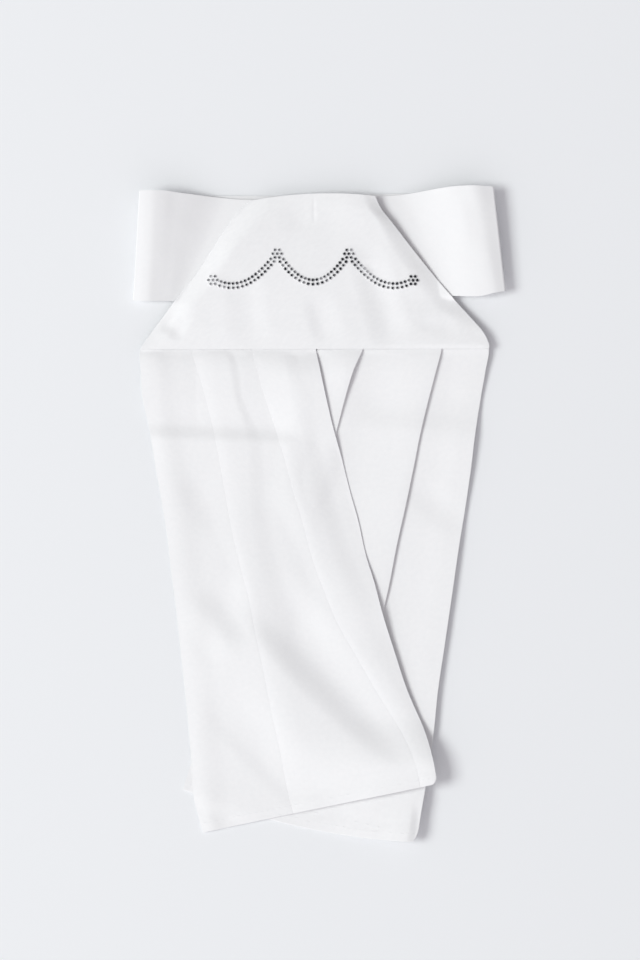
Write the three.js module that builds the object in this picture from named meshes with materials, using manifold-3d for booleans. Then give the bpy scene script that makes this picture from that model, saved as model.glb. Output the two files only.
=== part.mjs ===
// A ready-made cravat, lying flat on its back with its front up. Millimetres.
// +X runs to the right of the front, +Y from the hems towards the neck band, +Z up.

import * as THREE from 'three';
import Module from 'manifold-3d';
import { mergeVertices } from 'three/addons/utils/BufferGeometryUtils.js';

const { clamp, degToRad, lerp, smoothstep } = THREE.MathUtils;

// Cloth
const bandThickness = 1.2;   // two plies, sewn and turned
const yokeThickness = 1.2;   // two plies, sewn and turned
const tailThickness = 1.0;
const layerGap = 0.3;        // between layers that lie on each other

// The loop that goes round the neck. Its two ends lap behind the neck.
const lapHalf = 11;
const lapRamp = 8;           // the layers step up over the lap in this length
const bandRows = 7;          // cuts across the width of the band

const patchSize = { width: 19, height: 42, thickness: 0.8, y: 141.5 };

// Each stretch of the band runs from the row before it to this one, and its height eases over.
// low is the lower edge and high the upper edge; z is the middle of the cloth; turn is a round end.
const lapEnd = lapHalf + lapRamp;
const bandStretches = [
  { xLow: lapHalf, yLow: 114.5, xHigh: lapHalf, yHigh: 169.3, z: 3.2, steps: 0 },
  { xLow: -lapHalf, yLow: 114.5, xHigh: -lapHalf, yHigh: 169.1, z: 3.2, steps: 2 },
  { xLow: -lapEnd, yLow: 114.5, xHigh: -lapEnd, yHigh: 169.0, z: 0.6, steps: 4 },
  { xLow: -46, yLow: 114.0, xHigh: -46, yHigh: 169.0, z: 0.6, steps: 2 },
  { xLow: -92, yLow: 113.4, xHigh: -89, yHigh: 171.0, z: 0.6, steps: 3 },
  { xLow: -94, yLow: 113.4, xHigh: -90, yHigh: 171.2, z: 8.0, steps: 6, turn: -6.0 },
  { xLow: -87, yLow: 113.2, xHigh: -84, yHigh: 171.2, z: 8.0, steps: 2 },
  { xLow: -77, yLow: 113.2, xHigh: -44, yHigh: 167.2, z: 2.6, steps: 5 },
  { xLow: -lapEnd, yLow: 113.6, xHigh: -lapEnd, yHigh: 167.0, z: 2.6, steps: 3 },
  { xLow: -lapHalf, yLow: 113.8, xHigh: -lapHalf, yHigh: 167.2, z: 4.7, steps: 4 },
  { xLow: lapHalf, yLow: 114.5, xHigh: lapHalf, yHigh: 167.6, z: 4.7, steps: 2 },
  { xLow: lapEnd, yLow: 114.8, xHigh: lapEnd, yHigh: 167.8, z: 2.6, steps: 4 },
  { xLow: 73, yLow: 115.9, xHigh: 35, yHigh: 168.8, z: 2.6, steps: 3 },
  { xLow: 82, yLow: 114.9, xHigh: 77, yHigh: 174.1, z: 8.8, steps: 5 },
  { xLow: 93, yLow: 117.3, xHigh: 86, yHigh: 173.8, z: 8.8, steps: 2 },
  { xLow: 92, yLow: 118.0, xHigh: 85, yHigh: 172.4, z: 0.6, steps: 6, turn: 6.3 },
  { xLow: 60, yLow: 116.5, xHigh: 60, yHigh: 170.5, z: 0.6, steps: 2 },
  { xLow: -lapHalf, yLow: 114.5, xHigh: -lapHalf, yHigh: 169.3, z: 0.6, steps: 4 },
];

// The front panel, from the seam up to its top edge. Its slanting sides are folded under.
// under and front are the heights of the middle of the folded part and of the front cloth.
const yokeFold = 11;
const yokeRows = [
  { leftX: -94.5, leftY: 88.0, rightX: 90.4, rightY: 88.2, under: 3.2, front: 4.7, bow: 0 },
  { leftX: -92.2, leftY: 91.5, rightX: 89.8, rightY: 91.6, under: 3.2, front: 4.75, bow: 0 },
  { leftX: -88.1, leftY: 97.0, rightX: 85.4, rightY: 97.0, under: 3.3, front: 5.0, bow: 0 },
  { leftX: -82.0, leftY: 105.2, rightX: 78.7, rightY: 105.2, under: 3.8, front: 5.9, bow: 0 },
  { leftX: -76.1, leftY: 113.2, rightX: 72.3, rightY: 113.2, under: 4.3, front: 6.5, bow: 0 },
  { leftX: -65.5, leftY: 126.4, rightX: 62.0, rightY: 126.4, under: 4.3, front: 6.7, bow: 0.2 },
  { leftX: -56.0, leftY: 141.0, rightX: 50.0, rightY: 141.0, under: 4.3, front: 6.8, bow: 0.6 },
  { leftX: -47.0, leftY: 154.6, rightX: 38.5, rightY: 154.6, under: 4.3, front: 6.8, bow: 1.2 },
  { leftX: -41.0, leftY: 161.8, rightX: 32.8, rightY: 161.8, under: 4.3, front: 6.7, bow: 1.8 },
  { leftX: -36.3, leftY: 166.2, rightX: 29.8, rightY: 168.4, under: 4.3, front: 6.5, bow: 2.5 },
];

// Soft hollows in the front panel: the ends of each one, its half width and its depth.
const yokeHollows = [
  { fromX: -84, fromY: 99, toX: -74, toY: 93, halfWidth: 6, depth: 0.7 },
  { fromX: 27, fromY: 122, toX: 40, toY: 95, halfWidth: 8, depth: 0.8 },
  { fromX: 53, fromY: 100, toX: 65, toY: 98, halfWidth: 4.5, depth: 0.5 },
  { fromX: -2, fromY: 112, toX: -1, toY: 96, halfWidth: 4, depth: 0.6 },
];

// Tails: one row for each cut across a tail, from the end tucked behind the panel to the hem.
// folds are shares of the width from the outer edge; tuck is how far each pleat runs underneath.
const hemTurn = 11;          // the outer edge is turned under this far
const tuckRise = 1.5;        // a panel stays up this far past the pleat it covers
const tuckFall = 5;          // and comes down in this length
const leftTailRows = [
  { outerX: -87.5, outerY: 95.5, innerX: -1.5, innerY: 95.5, foldOne: 0.25, foldTwo: 0.61, tuck: 12, bow: 0 },
  { outerX: -94.4, outerY: 87, innerX: -1.4, innerY: 88, foldOne: 0.291, foldTwo: 0.637, tuck: 12, bow: 0 },
  { outerX: -93.5, outerY: 66, innerX: 4.9, innerY: 67, foldOne: 0.337, foldTwo: 0.663, tuck: 11.2, bow: 0 },
  { outerX: -89.5, outerY: 44, innerX: 8.9, innerY: 47, foldOne: 0.348, foldTwo: 0.683, tuck: 10.6, bow: 0 },
  { outerX: -83.6, outerY: 10, innerX: 16.3, innerY: 16, foldOne: 0.342, foldTwo: 0.704, tuck: 9.6, bow: 0 },
  { outerX: -78.4, outerY: -28, innerX: 24.8, innerY: -18, foldOne: 0.352, foldTwo: 0.728, tuck: 8.5, bow: 0 },
  { outerX: -74.2, outerY: -64, innerX: 34.4, innerY: -50, foldOne: 0.371, foldTwo: 0.757, tuck: 7.4, bow: 0 },
  { outerX: -71.9, outerY: -82, innerX: 39.0, innerY: -66, foldOne: 0.375, foldTwo: 0.79, tuck: 6.9, bow: 0 },
  { outerX: -70.0, outerY: -100, innerX: 43.8, innerY: -82, foldOne: 0.378, foldTwo: 0.83, tuck: 6.4, bow: 0 },
  { outerX: -68.0, outerY: -118, innerX: 50.2, innerY: -99, foldOne: 0.379, foldTwo: 0.86, tuck: 5.9, bow: 0 },
  { outerX: -65.9, outerY: -136, innerX: 57.0, innerY: -115, foldOne: 0.381, foldTwo: 0.875, tuck: 5.4, bow: 0 },
  { outerX: -63.6, outerY: -153, innerX: 60.6, innerY: -130, foldOne: 0.386, foldTwo: 0.885, tuck: 4.9, bow: 0 },
  { outerX: -59.1, outerY: -168.8, innerX: 62.8, innerY: -142.3, foldOne: 0.384, foldTwo: 0.89, tuck: 4.5, bow: 0 },
];
const rightTailRows = [
  { outerX: 84.5, outerY: 95.5, innerX: -0.7, innerY: 95.5, foldOne: 0.25, foldTwo: 0.72, tuck: 11, bow: 0 },
  { outerX: 90.2, outerY: 87, innerX: -0.8, innerY: 87, foldOne: 0.279, foldTwo: 0.731, tuck: 11, bow: 0 },
  { outerX: 86.4, outerY: 63, innerX: -8.2, innerY: 64, foldOne: 0.291, foldTwo: 0.764, tuck: 10.4, bow: 0 },
  { outerX: 83.0, outerY: 40, innerX: -14.8, innerY: 42, foldOne: 0.304, foldTwo: 0.765, tuck: 10, bow: 0 },
  { outerX: 78.5, outerY: 5, innerX: -24.2, innerY: 11, foldOne: 0.317, foldTwo: 0.766, tuck: 9, bow: 0.5 },
  { outerX: 72.0, outerY: -30, innerX: -34.2, innerY: -22, foldOne: 0.317, foldTwo: 0.767, tuck: 8, bow: 1.5 },
  { outerX: 67.2, outerY: -62, innerX: -43.0, innerY: -51, foldOne: 0.322, foldTwo: 0.768, tuck: 7, bow: 2.5 },
  { outerX: 62.9, outerY: -90, innerX: -50.9, innerY: -77, foldOne: 0.326, foldTwo: 0.77, tuck: 6.2, bow: 3.5 },
  { outerX: 60.4, outerY: -113, innerX: -57.3, innerY: -98, foldOne: 0.33, foldTwo: 0.772, tuck: 5.6, bow: 4.3 },
  { outerX: 57.4, outerY: -136, innerX: -62.9, innerY: -116.5, foldOne: 0.334, foldTwo: 0.774, tuck: 5, bow: 5 },
  { outerX: 52.6, outerY: -156, innerX: -67.6, innerY: -132, foldOne: 0.336, foldTwo: 0.775, tuck: 4.7, bow: 5.6 },
  { outerX: 49.0, outerY: -173.6, innerX: -71.8, innerY: -146, foldOne: 0.337, foldTwo: 0.775, tuck: 4.5, bow: 6 },
];

// How the left tail rides over the right one, and where the cloth lifts off
const crossing = { atSeam: 1.3, over: 3.9, seamY: 88, overY: 72, rampStart: 14, rampEnd: 2 };
const billow = { height: 1.4, startY: -30, fullY: -75 };
const leftCorner = { x: 62.8, y: -142.3, reach: 58, lift: 3.2 };
const rightCorner = { x: 49.0, y: -173.6, reach: 34, lift: 4.2 };
const leftHollow = { fromX: -24, fromY: -56, toX: 46, toY: -130, halfWidth: 11, depth: 1.4 };

// Stones
const stone = { radius: 1.0, tableRadius: 0.55, height: 0.8, sunk: 0.1, facets: 8 };
const stonePitch = 2.3;
const film = { thickness: 0.4, halfWidth: 2.35, rosetteRadius: 3.7, lift: 0.35, steps: 12 };
const rosettes = [
  { x: -56, y: 124 },
  { x: -22, y: 138 },
  { x: 16, y: 138 },
  { x: 50, y: 124 },
];
const swagDips = [8.5, 15, 8.5];   // how far each swag hangs below the line between its rosettes
const rosetteStones = 6;

// 1 along the middle of a soft hollow, falling to 0 at its half width
function hollowShare(hollow, x, y) {
  const along = new THREE.Vector2(hollow.toX - hollow.fromX, hollow.toY - hollow.fromY);
  const from = new THREE.Vector2(x - hollow.fromX, y - hollow.fromY);
  const share = clamp(from.dot(along) / along.lengthSq(), 0, 1);
  const distance = from.sub(along.multiplyScalar(share)).length();
  return 1 - smoothstep(distance, 0, 2 * hollow.halfWidth);
}

// 1 at a lifted corner, falling to 0 at its reach
function cornerShare(corner, x, y) {
  return 1 - smoothstep(Math.hypot(x - corner.x, y - corner.y), 0, corner.reach);
}

// A closed wall of even thickness round a grid of points in the middle of the cloth
function clothWall(grid, thickness) {
  const lastRow = grid.length - 1;
  const lastColumn = grid[0].length - 1;
  const at = (row, column) => grid[clamp(row, 0, lastRow)][clamp(column, 0, lastColumn)];
  const positions = [];
  for (const side of [0.5, -0.5]) {
    for (let row = 0; row <= lastRow; row++) {
      for (let column = 0; column <= lastColumn; column++) {
        const along = at(row + 1, column).clone().sub(at(row - 1, column));
        const across = at(row, column + 1).clone().sub(at(row, column - 1));
        const normal = across.cross(along).normalize();
        const point = at(row, column).clone().addScaledVector(normal, side * thickness);
        positions.push(point.x, point.y, point.z);
      }
    }
  }

  const width = lastColumn + 1;
  const backStart = width * (lastRow + 1);
  const index = (row, column) => row * width + column;
  const triangles = [];
  for (let row = 0; row < lastRow; row++) {
    for (let column = 0; column < lastColumn; column++) {
      const a = index(row, column);
      const b = index(row, column + 1);
      const c = index(row + 1, column + 1);
      const d = index(row + 1, column);
      triangles.push(a, b, d, b, c, d);
      triangles.push(backStart + a, backStart + d, backStart + b);
      triangles.push(backStart + b, backStart + d, backStart + c);
    }
  }

  const rim = [];
  for (let column = 0; column < lastColumn; column++) {
    rim.push([index(0, column), index(0, column + 1)]);
    rim.push([index(lastRow, column + 1), index(lastRow, column)]);
  }
  for (let row = 0; row < lastRow; row++) {
    rim.push([index(row, lastColumn), index(row + 1, lastColumn)]);
    rim.push([index(row + 1, 0), index(row, 0)]);
  }
  for (const [from, to] of rim) {
    triangles.push(to, from, backStart + from, to, backStart + from, backStart + to);
  }

  const geometry = new THREE.BufferGeometry();
  geometry.setAttribute('position', new THREE.Float32BufferAttribute(positions, 3));
  geometry.setIndex(triangles);
  geometry.computeVertexNormals();
  return geometry;
}

// The points inside a half turn of cloth, between its two straight ends
function halfTurn(across, fromHeight, toHeight, bulge, steps) {
  const middle = (fromHeight + toHeight) / 2;
  const points = [];
  for (let step = 1; step < steps; step++) {
    const angle = Math.PI * step / steps;
    const height = middle + (fromHeight - middle) * Math.cos(angle);
    points.push({ across: across + bulge * Math.sin(angle), height });
  }
  return points;
}

// Neck band: one row of points for each cut, from the lower edge to the upper edge
function makeNeckBand() {
  const grid = [];
  for (let row = 0; row < bandRows; row++) {
    const share = row / (bandRows - 1);
    const points = [];
    let before = null;
    for (const stretch of bandStretches) {
      const here = {
        x: lerp(stretch.xLow, stretch.xHigh, share),
        y: lerp(stretch.yLow, stretch.yHigh, share),
        z: stretch.z,
      };
      for (let step = 1; step < stretch.steps; step++) {
        const part = step / stretch.steps;
        const point = new THREE.Vector3(
          lerp(before.x, here.x, part),
          lerp(before.y, here.y, part),
          lerp(before.z, here.z, smoothstep(part, 0, 1)),
        );
        if (stretch.turn) {
          const angle = Math.PI * part;
          point.x += stretch.turn * Math.sin(angle);
          point.z = lerp(before.z, here.z, (1 - Math.cos(angle)) / 2);
        }
        points.push(point);
      }
      points.push(new THREE.Vector3(here.x, here.y, here.z));
      before = here;
    }
    grid.push(points);
  }
  return clothWall(grid, bandThickness);
}

// Fastener between the lapped ends
function makeClosurePatch() {
  const { width, height, thickness, y } = patchSize;
  const geometry = new THREE.BoxGeometry(width, height, thickness);
  const outerEndTop = bandThickness;
  geometry.translate(0, y, outerEndTop + layerGap + thickness / 2);
  return geometry;
}

// Height of the middle of the front cloth of the panel
function yokeHeight(x, y) {
  let height = yokeRows.at(-1).front;
  for (let row = 1; row < yokeRows.length; row++) {
    const low = yokeRows[row - 1];
    const high = yokeRows[row];
    if (y <= high.leftY) {
      height = lerp(low.front, high.front, clamp((y - low.leftY) / (high.leftY - low.leftY), 0, 1));
      break;
    }
  }
  for (const hollow of yokeHollows) {
    height -= hollow.depth * hollowShare(hollow, x, y);
  }
  return height;
}

function makeYoke() {
  const frontSteps = 14;
  const turnSteps = 4;
  const grid = yokeRows.map((row) => {
    const width = row.rightX - row.leftX;
    const rise = row.front - row.under;
    const turn = (rise + yokeThickness) / 2;
    const section = [{ across: yokeFold, height: row.under }, { across: turn, height: row.under }];
    section.push(...halfTurn(turn, row.under, row.front, -rise / 2, turnSteps));
    for (let step = 0; step <= frontSteps; step++) {
      section.push({ across: lerp(turn, width - turn, step / frontSteps), height: row.front, front: true });
    }
    section.push(...halfTurn(width - turn, row.front, row.under, rise / 2, turnSteps));
    section.push({ across: width - turn, height: row.under }, { across: width - yokeFold, height: row.under });
    return section.map(({ across, height, front }) => {
      const share = across / width;
      const x = lerp(row.leftX, row.rightX, share);
      const y = lerp(row.leftY, row.rightY, share) + row.bow * 4 * share * (1 - share);
      const atEdge = smoothstep(Math.min(across, width - across), turn, yokeFold);
      return new THREE.Vector3(x, y, front ? lerp(height, yokeHeight(x, y), atEdge) : height);
    });
  });
  return clothWall(grid, yokeThickness);
}

// One cut across a pleated tail, from the turned-under outer edge to the inner edge
function pleatSection(width, folds, tuck) {
  const pitch = tailThickness + layerGap;
  const turn = (pitch + tailThickness) / 2;
  const turnSteps = 4;
  const flatSteps = 4;
  const section = [{ across: hemTurn, height: 0 }, { across: turn, height: 0 }];
  section.push(...halfTurn(turn, 0, pitch, -pitch / 2, turnSteps));
  let start = turn;
  let raised = pitch;
  let covered = hemTurn;
  for (const fold of [...folds, null]) {
    const end = fold === null ? width : fold + tuck - turn;
    const landed = covered + tuckRise + tuckFall;
    section.push({ across: start, height: raised }, { across: covered + tuckRise, height: raised });
    for (let step = 0; step <= flatSteps; step++) {
      section.push({ across: lerp(landed, end, step / flatSteps), height: 0 });
    }
    if (fold !== null) {
      section.push(...halfTurn(end, 0, pitch, pitch / 2, turnSteps));
      section.push({ across: end, height: pitch }, { across: fold + turn, height: pitch });
      section.push(...halfTurn(fold + turn, pitch, 2 * pitch, -pitch / 2, turnSteps));
      start = fold + turn;
      raised = 2 * pitch;
      covered = fold + tuck;
    }
  }
  return section;
}

// A tail whose cloth lies at liftAt(x, y) above the ground
function makeTail(rows, liftAt) {
  const grid = rows.map((row) => {
    const width = Math.hypot(row.innerX - row.outerX, row.innerY - row.outerY);
    const section = pleatSection(width, [row.foldOne * width, row.foldTwo * width], row.tuck);
    return section.map(({ across, height }) => {
      const share = across / width;
      const x = lerp(row.outerX, row.innerX, share);
      const y = lerp(row.outerY, row.innerY, share) - row.bow * 4 * share * (1 - share);
      return new THREE.Vector3(x, y, tailThickness / 2 + height + liftAt(x, y));
    });
  });
  return clothWall(grid, tailThickness);
}

// The hidden inner edge of the right tail is nearly straight, so two of its rows give it
function rightTailInnerX(y) {
  const top = rightTailRows[1];
  const hem = rightTailRows.at(-1);
  return lerp(top.innerX, hem.innerX, (top.innerY - y) / (top.innerY - hem.innerY));
}

function leftTailLift(x, y) {
  const inside = x - rightTailInnerX(y);
  const over = lerp(crossing.over, crossing.atSeam, smoothstep(y, crossing.overY, crossing.seamY));
  const ramp = smoothstep(inside, -crossing.rampStart, -crossing.rampEnd);
  const puff = billow.height * smoothstep(-y, -billow.startY, -billow.fullY);
  const corner = leftCorner.lift * cornerShare(leftCorner, x, y);
  const hollow = leftHollow.depth * hollowShare(leftHollow, x, y) * Math.min(1, puff / billow.height);
  return (over + puff - hollow) * ramp + corner;
}

function rightTailLift(x, y) {
  return rightCorner.lift * cornerShare(rightCorner, x, y);
}

const wasm = await Module();
wasm.setup();

function toSolid(geometry) {
  const bare = geometry.index ? geometry.toNonIndexed() : geometry.clone();
  bare.deleteAttribute('normal');
  bare.deleteAttribute('uv');
  const merged = mergeVertices(bare, 1e-4);
  return new wasm.Manifold(new wasm.Mesh({
    numProp: 3,
    vertProperties: new Float32Array(merged.attributes.position.array),
    triVerts: new Uint32Array(merged.index.array),
  }));
}

function toGeometry(solid) {
  const mesh = solid.getMesh();
  const geometry = new THREE.BufferGeometry();
  geometry.setAttribute('position', new THREE.BufferAttribute(mesh.vertProperties, 3));
  geometry.setIndex(new THREE.BufferAttribute(mesh.triVerts, 1));
  return geometry;
}

// Crown of one cut stone: eight facets and a table, its flat back a little inside the film
function stoneAt(x, y) {
  const height = stone.height + stone.sunk;
  const crown = new THREE.CylinderGeometry(stone.tableRadius, stone.radius, height, stone.facets);
  crown.rotateX(Math.PI / 2);
  crown.translate(x, y, film.thickness - stone.sunk + height / 2);
  return crown;
}

// A swag hangs between two rosettes as a shallow parabola
function swagCurve(from, to, dip) {
  const start = new THREE.Vector2(from.x, from.y);
  const end = new THREE.Vector2(to.x, to.y);
  const handle = new THREE.Vector2((from.x + to.x) / 2, (from.y + to.y) / 2 - 2 * dip);
  return new THREE.QuadraticBezierCurve(start, handle, end);
}

// Points at even distances along a curve, set off to one side of it
function pointsBeside(curve, count, offset, trim) {
  const length = curve.getLength();
  const points = [];
  for (let step = 0; step < count; step++) {
    const share = (trim + (length - 2 * trim) * step / (count - 1)) / length;
    const tangent = curve.getTangentAt(share);
    const point = curve.getPointAt(share);
    points.push(new THREE.Vector2(point.x - tangent.y * offset, point.y + tangent.x * offset));
  }
  return points;
}

function extrudeFilm(outline) {
  return new THREE.ExtrudeGeometry(new THREE.Shape(outline), {
    depth: film.thickness,
    bevelEnabled: false,
  });
}

// Three swags of stones in double rows, with a rosette at each end and between them
function makeCrystals() {
  const pieces = [];
  const stones = [];
  const trim = film.rosetteRadius + 0.6;
  for (let swag = 0; swag < swagDips.length; swag++) {
    const curve = swagCurve(rosettes[swag], rosettes[swag + 1], swagDips[swag]);
    const count = Math.round((curve.getLength() - 2 * trim) / stonePitch) + 1;
    for (const side of [-0.5, 0.5]) {
      stones.push(...pointsBeside(curve, count, side * stonePitch, trim));
    }
    const upper = pointsBeside(curve, film.steps, film.halfWidth, 0);
    const lower = pointsBeside(curve, film.steps, -film.halfWidth, 0);
    pieces.push(extrudeFilm([...upper, ...lower.reverse()]));
  }
  for (const rosette of rosettes) {
    stones.push(new THREE.Vector2(rosette.x, rosette.y));
    const disc = [];
    for (let petal = 0; petal < rosetteStones; petal++) {
      const angle = degToRad(360 * petal / rosetteStones);
      const out = new THREE.Vector2(Math.cos(angle), Math.sin(angle));
      stones.push(out.clone().multiplyScalar(stonePitch).add(rosette));
      disc.push(out.clone().multiplyScalar(film.rosetteRadius).add(rosette));
    }
    pieces.push(extrudeFilm(disc));
  }
  for (const { x, y } of stones) {
    pieces.push(stoneAt(x, y));
  }

  const flat = toGeometry(wasm.Manifold.union(pieces.map(toSolid)));
  const position = flat.attributes.position;
  for (let point = 0; point < position.count; point++) {
    const surface = yokeHeight(position.getX(point), position.getY(point)) + yokeThickness / 2;
    position.setZ(point, position.getZ(point) + surface + film.lift);
  }
  flat.computeVertexNormals();
  return flat;
}

const whiteCloth = { color: 0xf4f4f6, roughness: 0.8, metalness: 0, side: THREE.DoubleSide };
const materials = {
  bandCloth: new THREE.MeshStandardMaterial(whiteCloth),
  yokeCloth: new THREE.MeshStandardMaterial(whiteCloth),
  tailCloth: new THREE.MeshStandardMaterial({ ...whiteCloth, roughness: 0.72 }),
  fastener: new THREE.MeshStandardMaterial({ color: 0xe9e9ec, roughness: 0.95, metalness: 0 }),
  cutStones: new THREE.MeshStandardMaterial({ color: 0x6c7076, roughness: 0.12, metalness: 0.6 }),
};

const cravat = new THREE.Group();
const pieces = [
  ['neck_band', makeNeckBand(), materials.bandCloth],
  ['closure_patch', makeClosurePatch(), materials.fastener],
  ['yoke', makeYoke(), materials.yokeCloth],
  ['left_tail', makeTail(leftTailRows, leftTailLift), materials.tailCloth],
  ['right_tail', makeTail(rightTailRows, rightTailLift), materials.tailCloth],
  ['crystals', makeCrystals(), materials.cutStones],
];
for (const [name, geometry, material] of pieces) {
  const mesh = new THREE.Mesh(geometry, material);
  mesh.name = name;
  cravat.add(mesh);
}

// The origin is on the ground, under the middle of the whole piece
const bounds = new THREE.Box3().setFromObject(cravat, true);
const middle = bounds.getCenter(new THREE.Vector3());
cravat.position.set(-middle.x, -middle.y, -bounds.min.z);

const group = new THREE.Group();
group.add(cravat);
export default group;
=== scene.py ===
import math

import bpy
import numpy as np
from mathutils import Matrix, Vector


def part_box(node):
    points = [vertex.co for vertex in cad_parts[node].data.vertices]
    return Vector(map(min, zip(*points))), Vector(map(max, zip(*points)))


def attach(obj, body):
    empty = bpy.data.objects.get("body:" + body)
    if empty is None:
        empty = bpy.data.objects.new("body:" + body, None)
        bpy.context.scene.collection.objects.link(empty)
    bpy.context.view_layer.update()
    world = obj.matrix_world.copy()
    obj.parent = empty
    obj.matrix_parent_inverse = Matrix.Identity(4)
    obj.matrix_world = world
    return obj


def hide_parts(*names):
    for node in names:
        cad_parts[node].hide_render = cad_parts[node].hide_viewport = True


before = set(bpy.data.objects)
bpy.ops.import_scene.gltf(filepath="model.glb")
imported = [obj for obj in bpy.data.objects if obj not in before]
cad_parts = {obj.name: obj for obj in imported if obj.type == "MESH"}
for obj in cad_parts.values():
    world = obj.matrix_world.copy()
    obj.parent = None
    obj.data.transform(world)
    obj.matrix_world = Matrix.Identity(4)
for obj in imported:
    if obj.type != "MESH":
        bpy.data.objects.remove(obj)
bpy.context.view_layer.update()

# Sizes below are in millimetres, and a shift takes them to the place of the frame's solids: the
# middle of the fastener says how far
mm = 0.001
patchLow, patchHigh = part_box("closure_patch")
patchInTable = (0.0, 141.5)
shiftX = (patchLow.x + patchHigh.x) / 2 / mm - patchInTable[0]
shiftY = (patchLow.y + patchHigh.y) / 2 / mm - patchInTable[1]

# The key light comes from the left; the room is brighter below the picture than above it
light = {
    "towardsX": -0.9995,
    "towardsY": -0.03,
    "elevation": 43,
    "distance": 6.0,
    "width": 2.6,
    "height": 2.4,
    "power": 229,
    "room": 0.56,
    "roomColour": (0.976, 0.953, 0.989),
    "roomSide": 0.8,
    "roomTowardsX": -0.3,
    "roomTowardsY": -0.95,
    "keyColour": (0.935, 0.98, 0.95),
}


def tableOf(names, rows):
    # rows of values as dictionaries, all under the same names
    return [dict(zip(names.split(), row)) for row in rows]


def stroke(start, end, fall, rise, depth, crest=0.0, before=10.0, fade=0.3, bend=0.0):
    # one soft line pressed or hollowed in cloth, from start to end: a step of the given depth, how
    # wide its dark side (fall) and its way back up (rise) are, what share of it stands up before
    # the line and over what width, over what share of the length it fades out, and how far it bows
    return {"start": start, "end": end, "fall": fall, "rise": rise, "depth": depth, "crest": crest,
            "before": before, "fade": fade, "bend": bend}


def newObject(name, data):
    made = bpy.data.objects.new(name, data)
    bpy.context.scene.collection.objects.link(made)
    return made


def newMesh(name, verts, faces=()):
    made = bpy.data.meshes.new(name)
    made.from_pydata(verts, [], faces)
    return made


def ringFaces(low, count):
    # faces from one ring of points to the next one
    return [(low + i, low + (i + 1) % count, low + count + (i + 1) % count, low + count + i)
            for i in range(count)]


def makeNode(tree, kind, inputs=(), settings=()):
    # a node with its settings, each of its inputs either linked to an output or set to a value
    made = tree.nodes.new(kind)
    for name, value in dict(settings).items():
        setattr(made, name, value)
    for name, value in dict(inputs).items():
        value = getattr(value, "socket", value)
        if isinstance(value, bpy.types.NodeSocket):
            tree.links.new(value, made.inputs[name])
        else:
            made.inputs[name].default_value = value
    return made


# Small field functions on arrays

def ease(value, low, high):
    share = np.clip((value - low) / (high - low), 0.0, 1.0)
    return share * share * (3 - 2 * share)


def mix(first, second, share):
    return first + (second - first) * share


noise = {"cells": 64, "shiftX": 31.3, "shiftY": 29.7}


def softNoise(x, y, size, seed):
    # smooth random hills, about size apart, between -1 and 1
    count = noise["cells"]
    cells = np.random.default_rng(seed).uniform(-1, 1, (count, count))
    gx = np.asarray(x) / size + noise["shiftX"]
    gy = np.asarray(y) / size + noise["shiftY"]
    column = np.floor(gx).astype(int)
    row = np.floor(gy).astype(int)
    sx = ease(gx - column, 0, 1)
    near, far = (mix(cells[at % count, column % count], cells[at % count, (column + 1) % count], sx)
                 for at in (row, row + 1))
    return mix(near, far, ease(gy - row, 0, 1))


def hills(x, y, layers):
    # random hills of several sizes on each other, each layer with a height, a size and a seed
    return sum(height * softNoise(x, y, size, seed) for height, size, seed in layers)


def strokeDepth(strokes, x, y):
    # how far a set of strokes lowers the cloth; each one steps down on the side away from the light
    total = np.zeros_like(x)
    for line in strokes:
        startX, startY = line["start"]
        endX, endY = line["end"]
        length = math.hypot(endX - startX, endY - startY)
        dirX = (endX - startX) / length
        dirY = (endY - startY) / length
        sideX, sideY = -dirY, dirX
        if sideX * light["towardsX"] + sideY * light["towardsY"] > 0:
            sideX, sideY = -sideX, -sideY
        along = ((x - startX) * dirX + (y - startY) * dirY) / length
        bend = line["bend"] * 4 * np.clip(along, 0, 1) * (1 - np.clip(along, 0, 1))
        off = (x - startX) * sideX + (y - startY) * sideY - bend
        half = line["fall"] / 2
        crest = line["crest"]
        shape = ease(off, -half, half) - (1 - crest) * ease(off, half, half + line["rise"])
        shape = shape - crest * ease(off, -half - line["before"], -half)
        fade = line["fade"]
        ends = ease(along, -fade / 2, fade) * (1 - ease(along, 1 - fade, 1 + fade / 2))
        total += line["depth"] * shape * ends
    return total


def walked(points):
    # the distance walked along a line of points, at each of them
    return np.concatenate([[0], np.cumsum(np.linalg.norm(np.diff(points, axis=0), axis=1))])


def through(x, knots, values):
    # a smooth curve through knots that never overshoots them
    knots = np.asarray(knots, float)
    values = np.asarray(values, float)
    gaps = np.maximum(np.diff(knots), 1e-6)
    slopes = np.diff(values) / gaps
    before, after = slopes[:-1], slopes[1:]
    sameWay = before * after > 0
    inner = np.where(sameWay, 2 * before * after / np.where(sameWay, before + after, 1), 0)
    tangents = np.concatenate([[slopes[0]], inner, [slopes[-1]]])
    index = np.clip(np.searchsorted(knots, x, side="right") - 1, 0, len(gaps) - 1)
    t = np.clip((x - knots[index]) / gaps[index], 0, 1)
    return (values[index] * (1 + 2 * t) * (1 - t) ** 2 + values[index + 1] * t * t * (3 - 2 * t)
            + gaps[index] * (tangents[index] * t * (1 - t) ** 2 - tangents[index + 1] * t * t * (1 - t)))


# How many steps a curve takes from one row of a table to the next
curveSteps = 24


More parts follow.
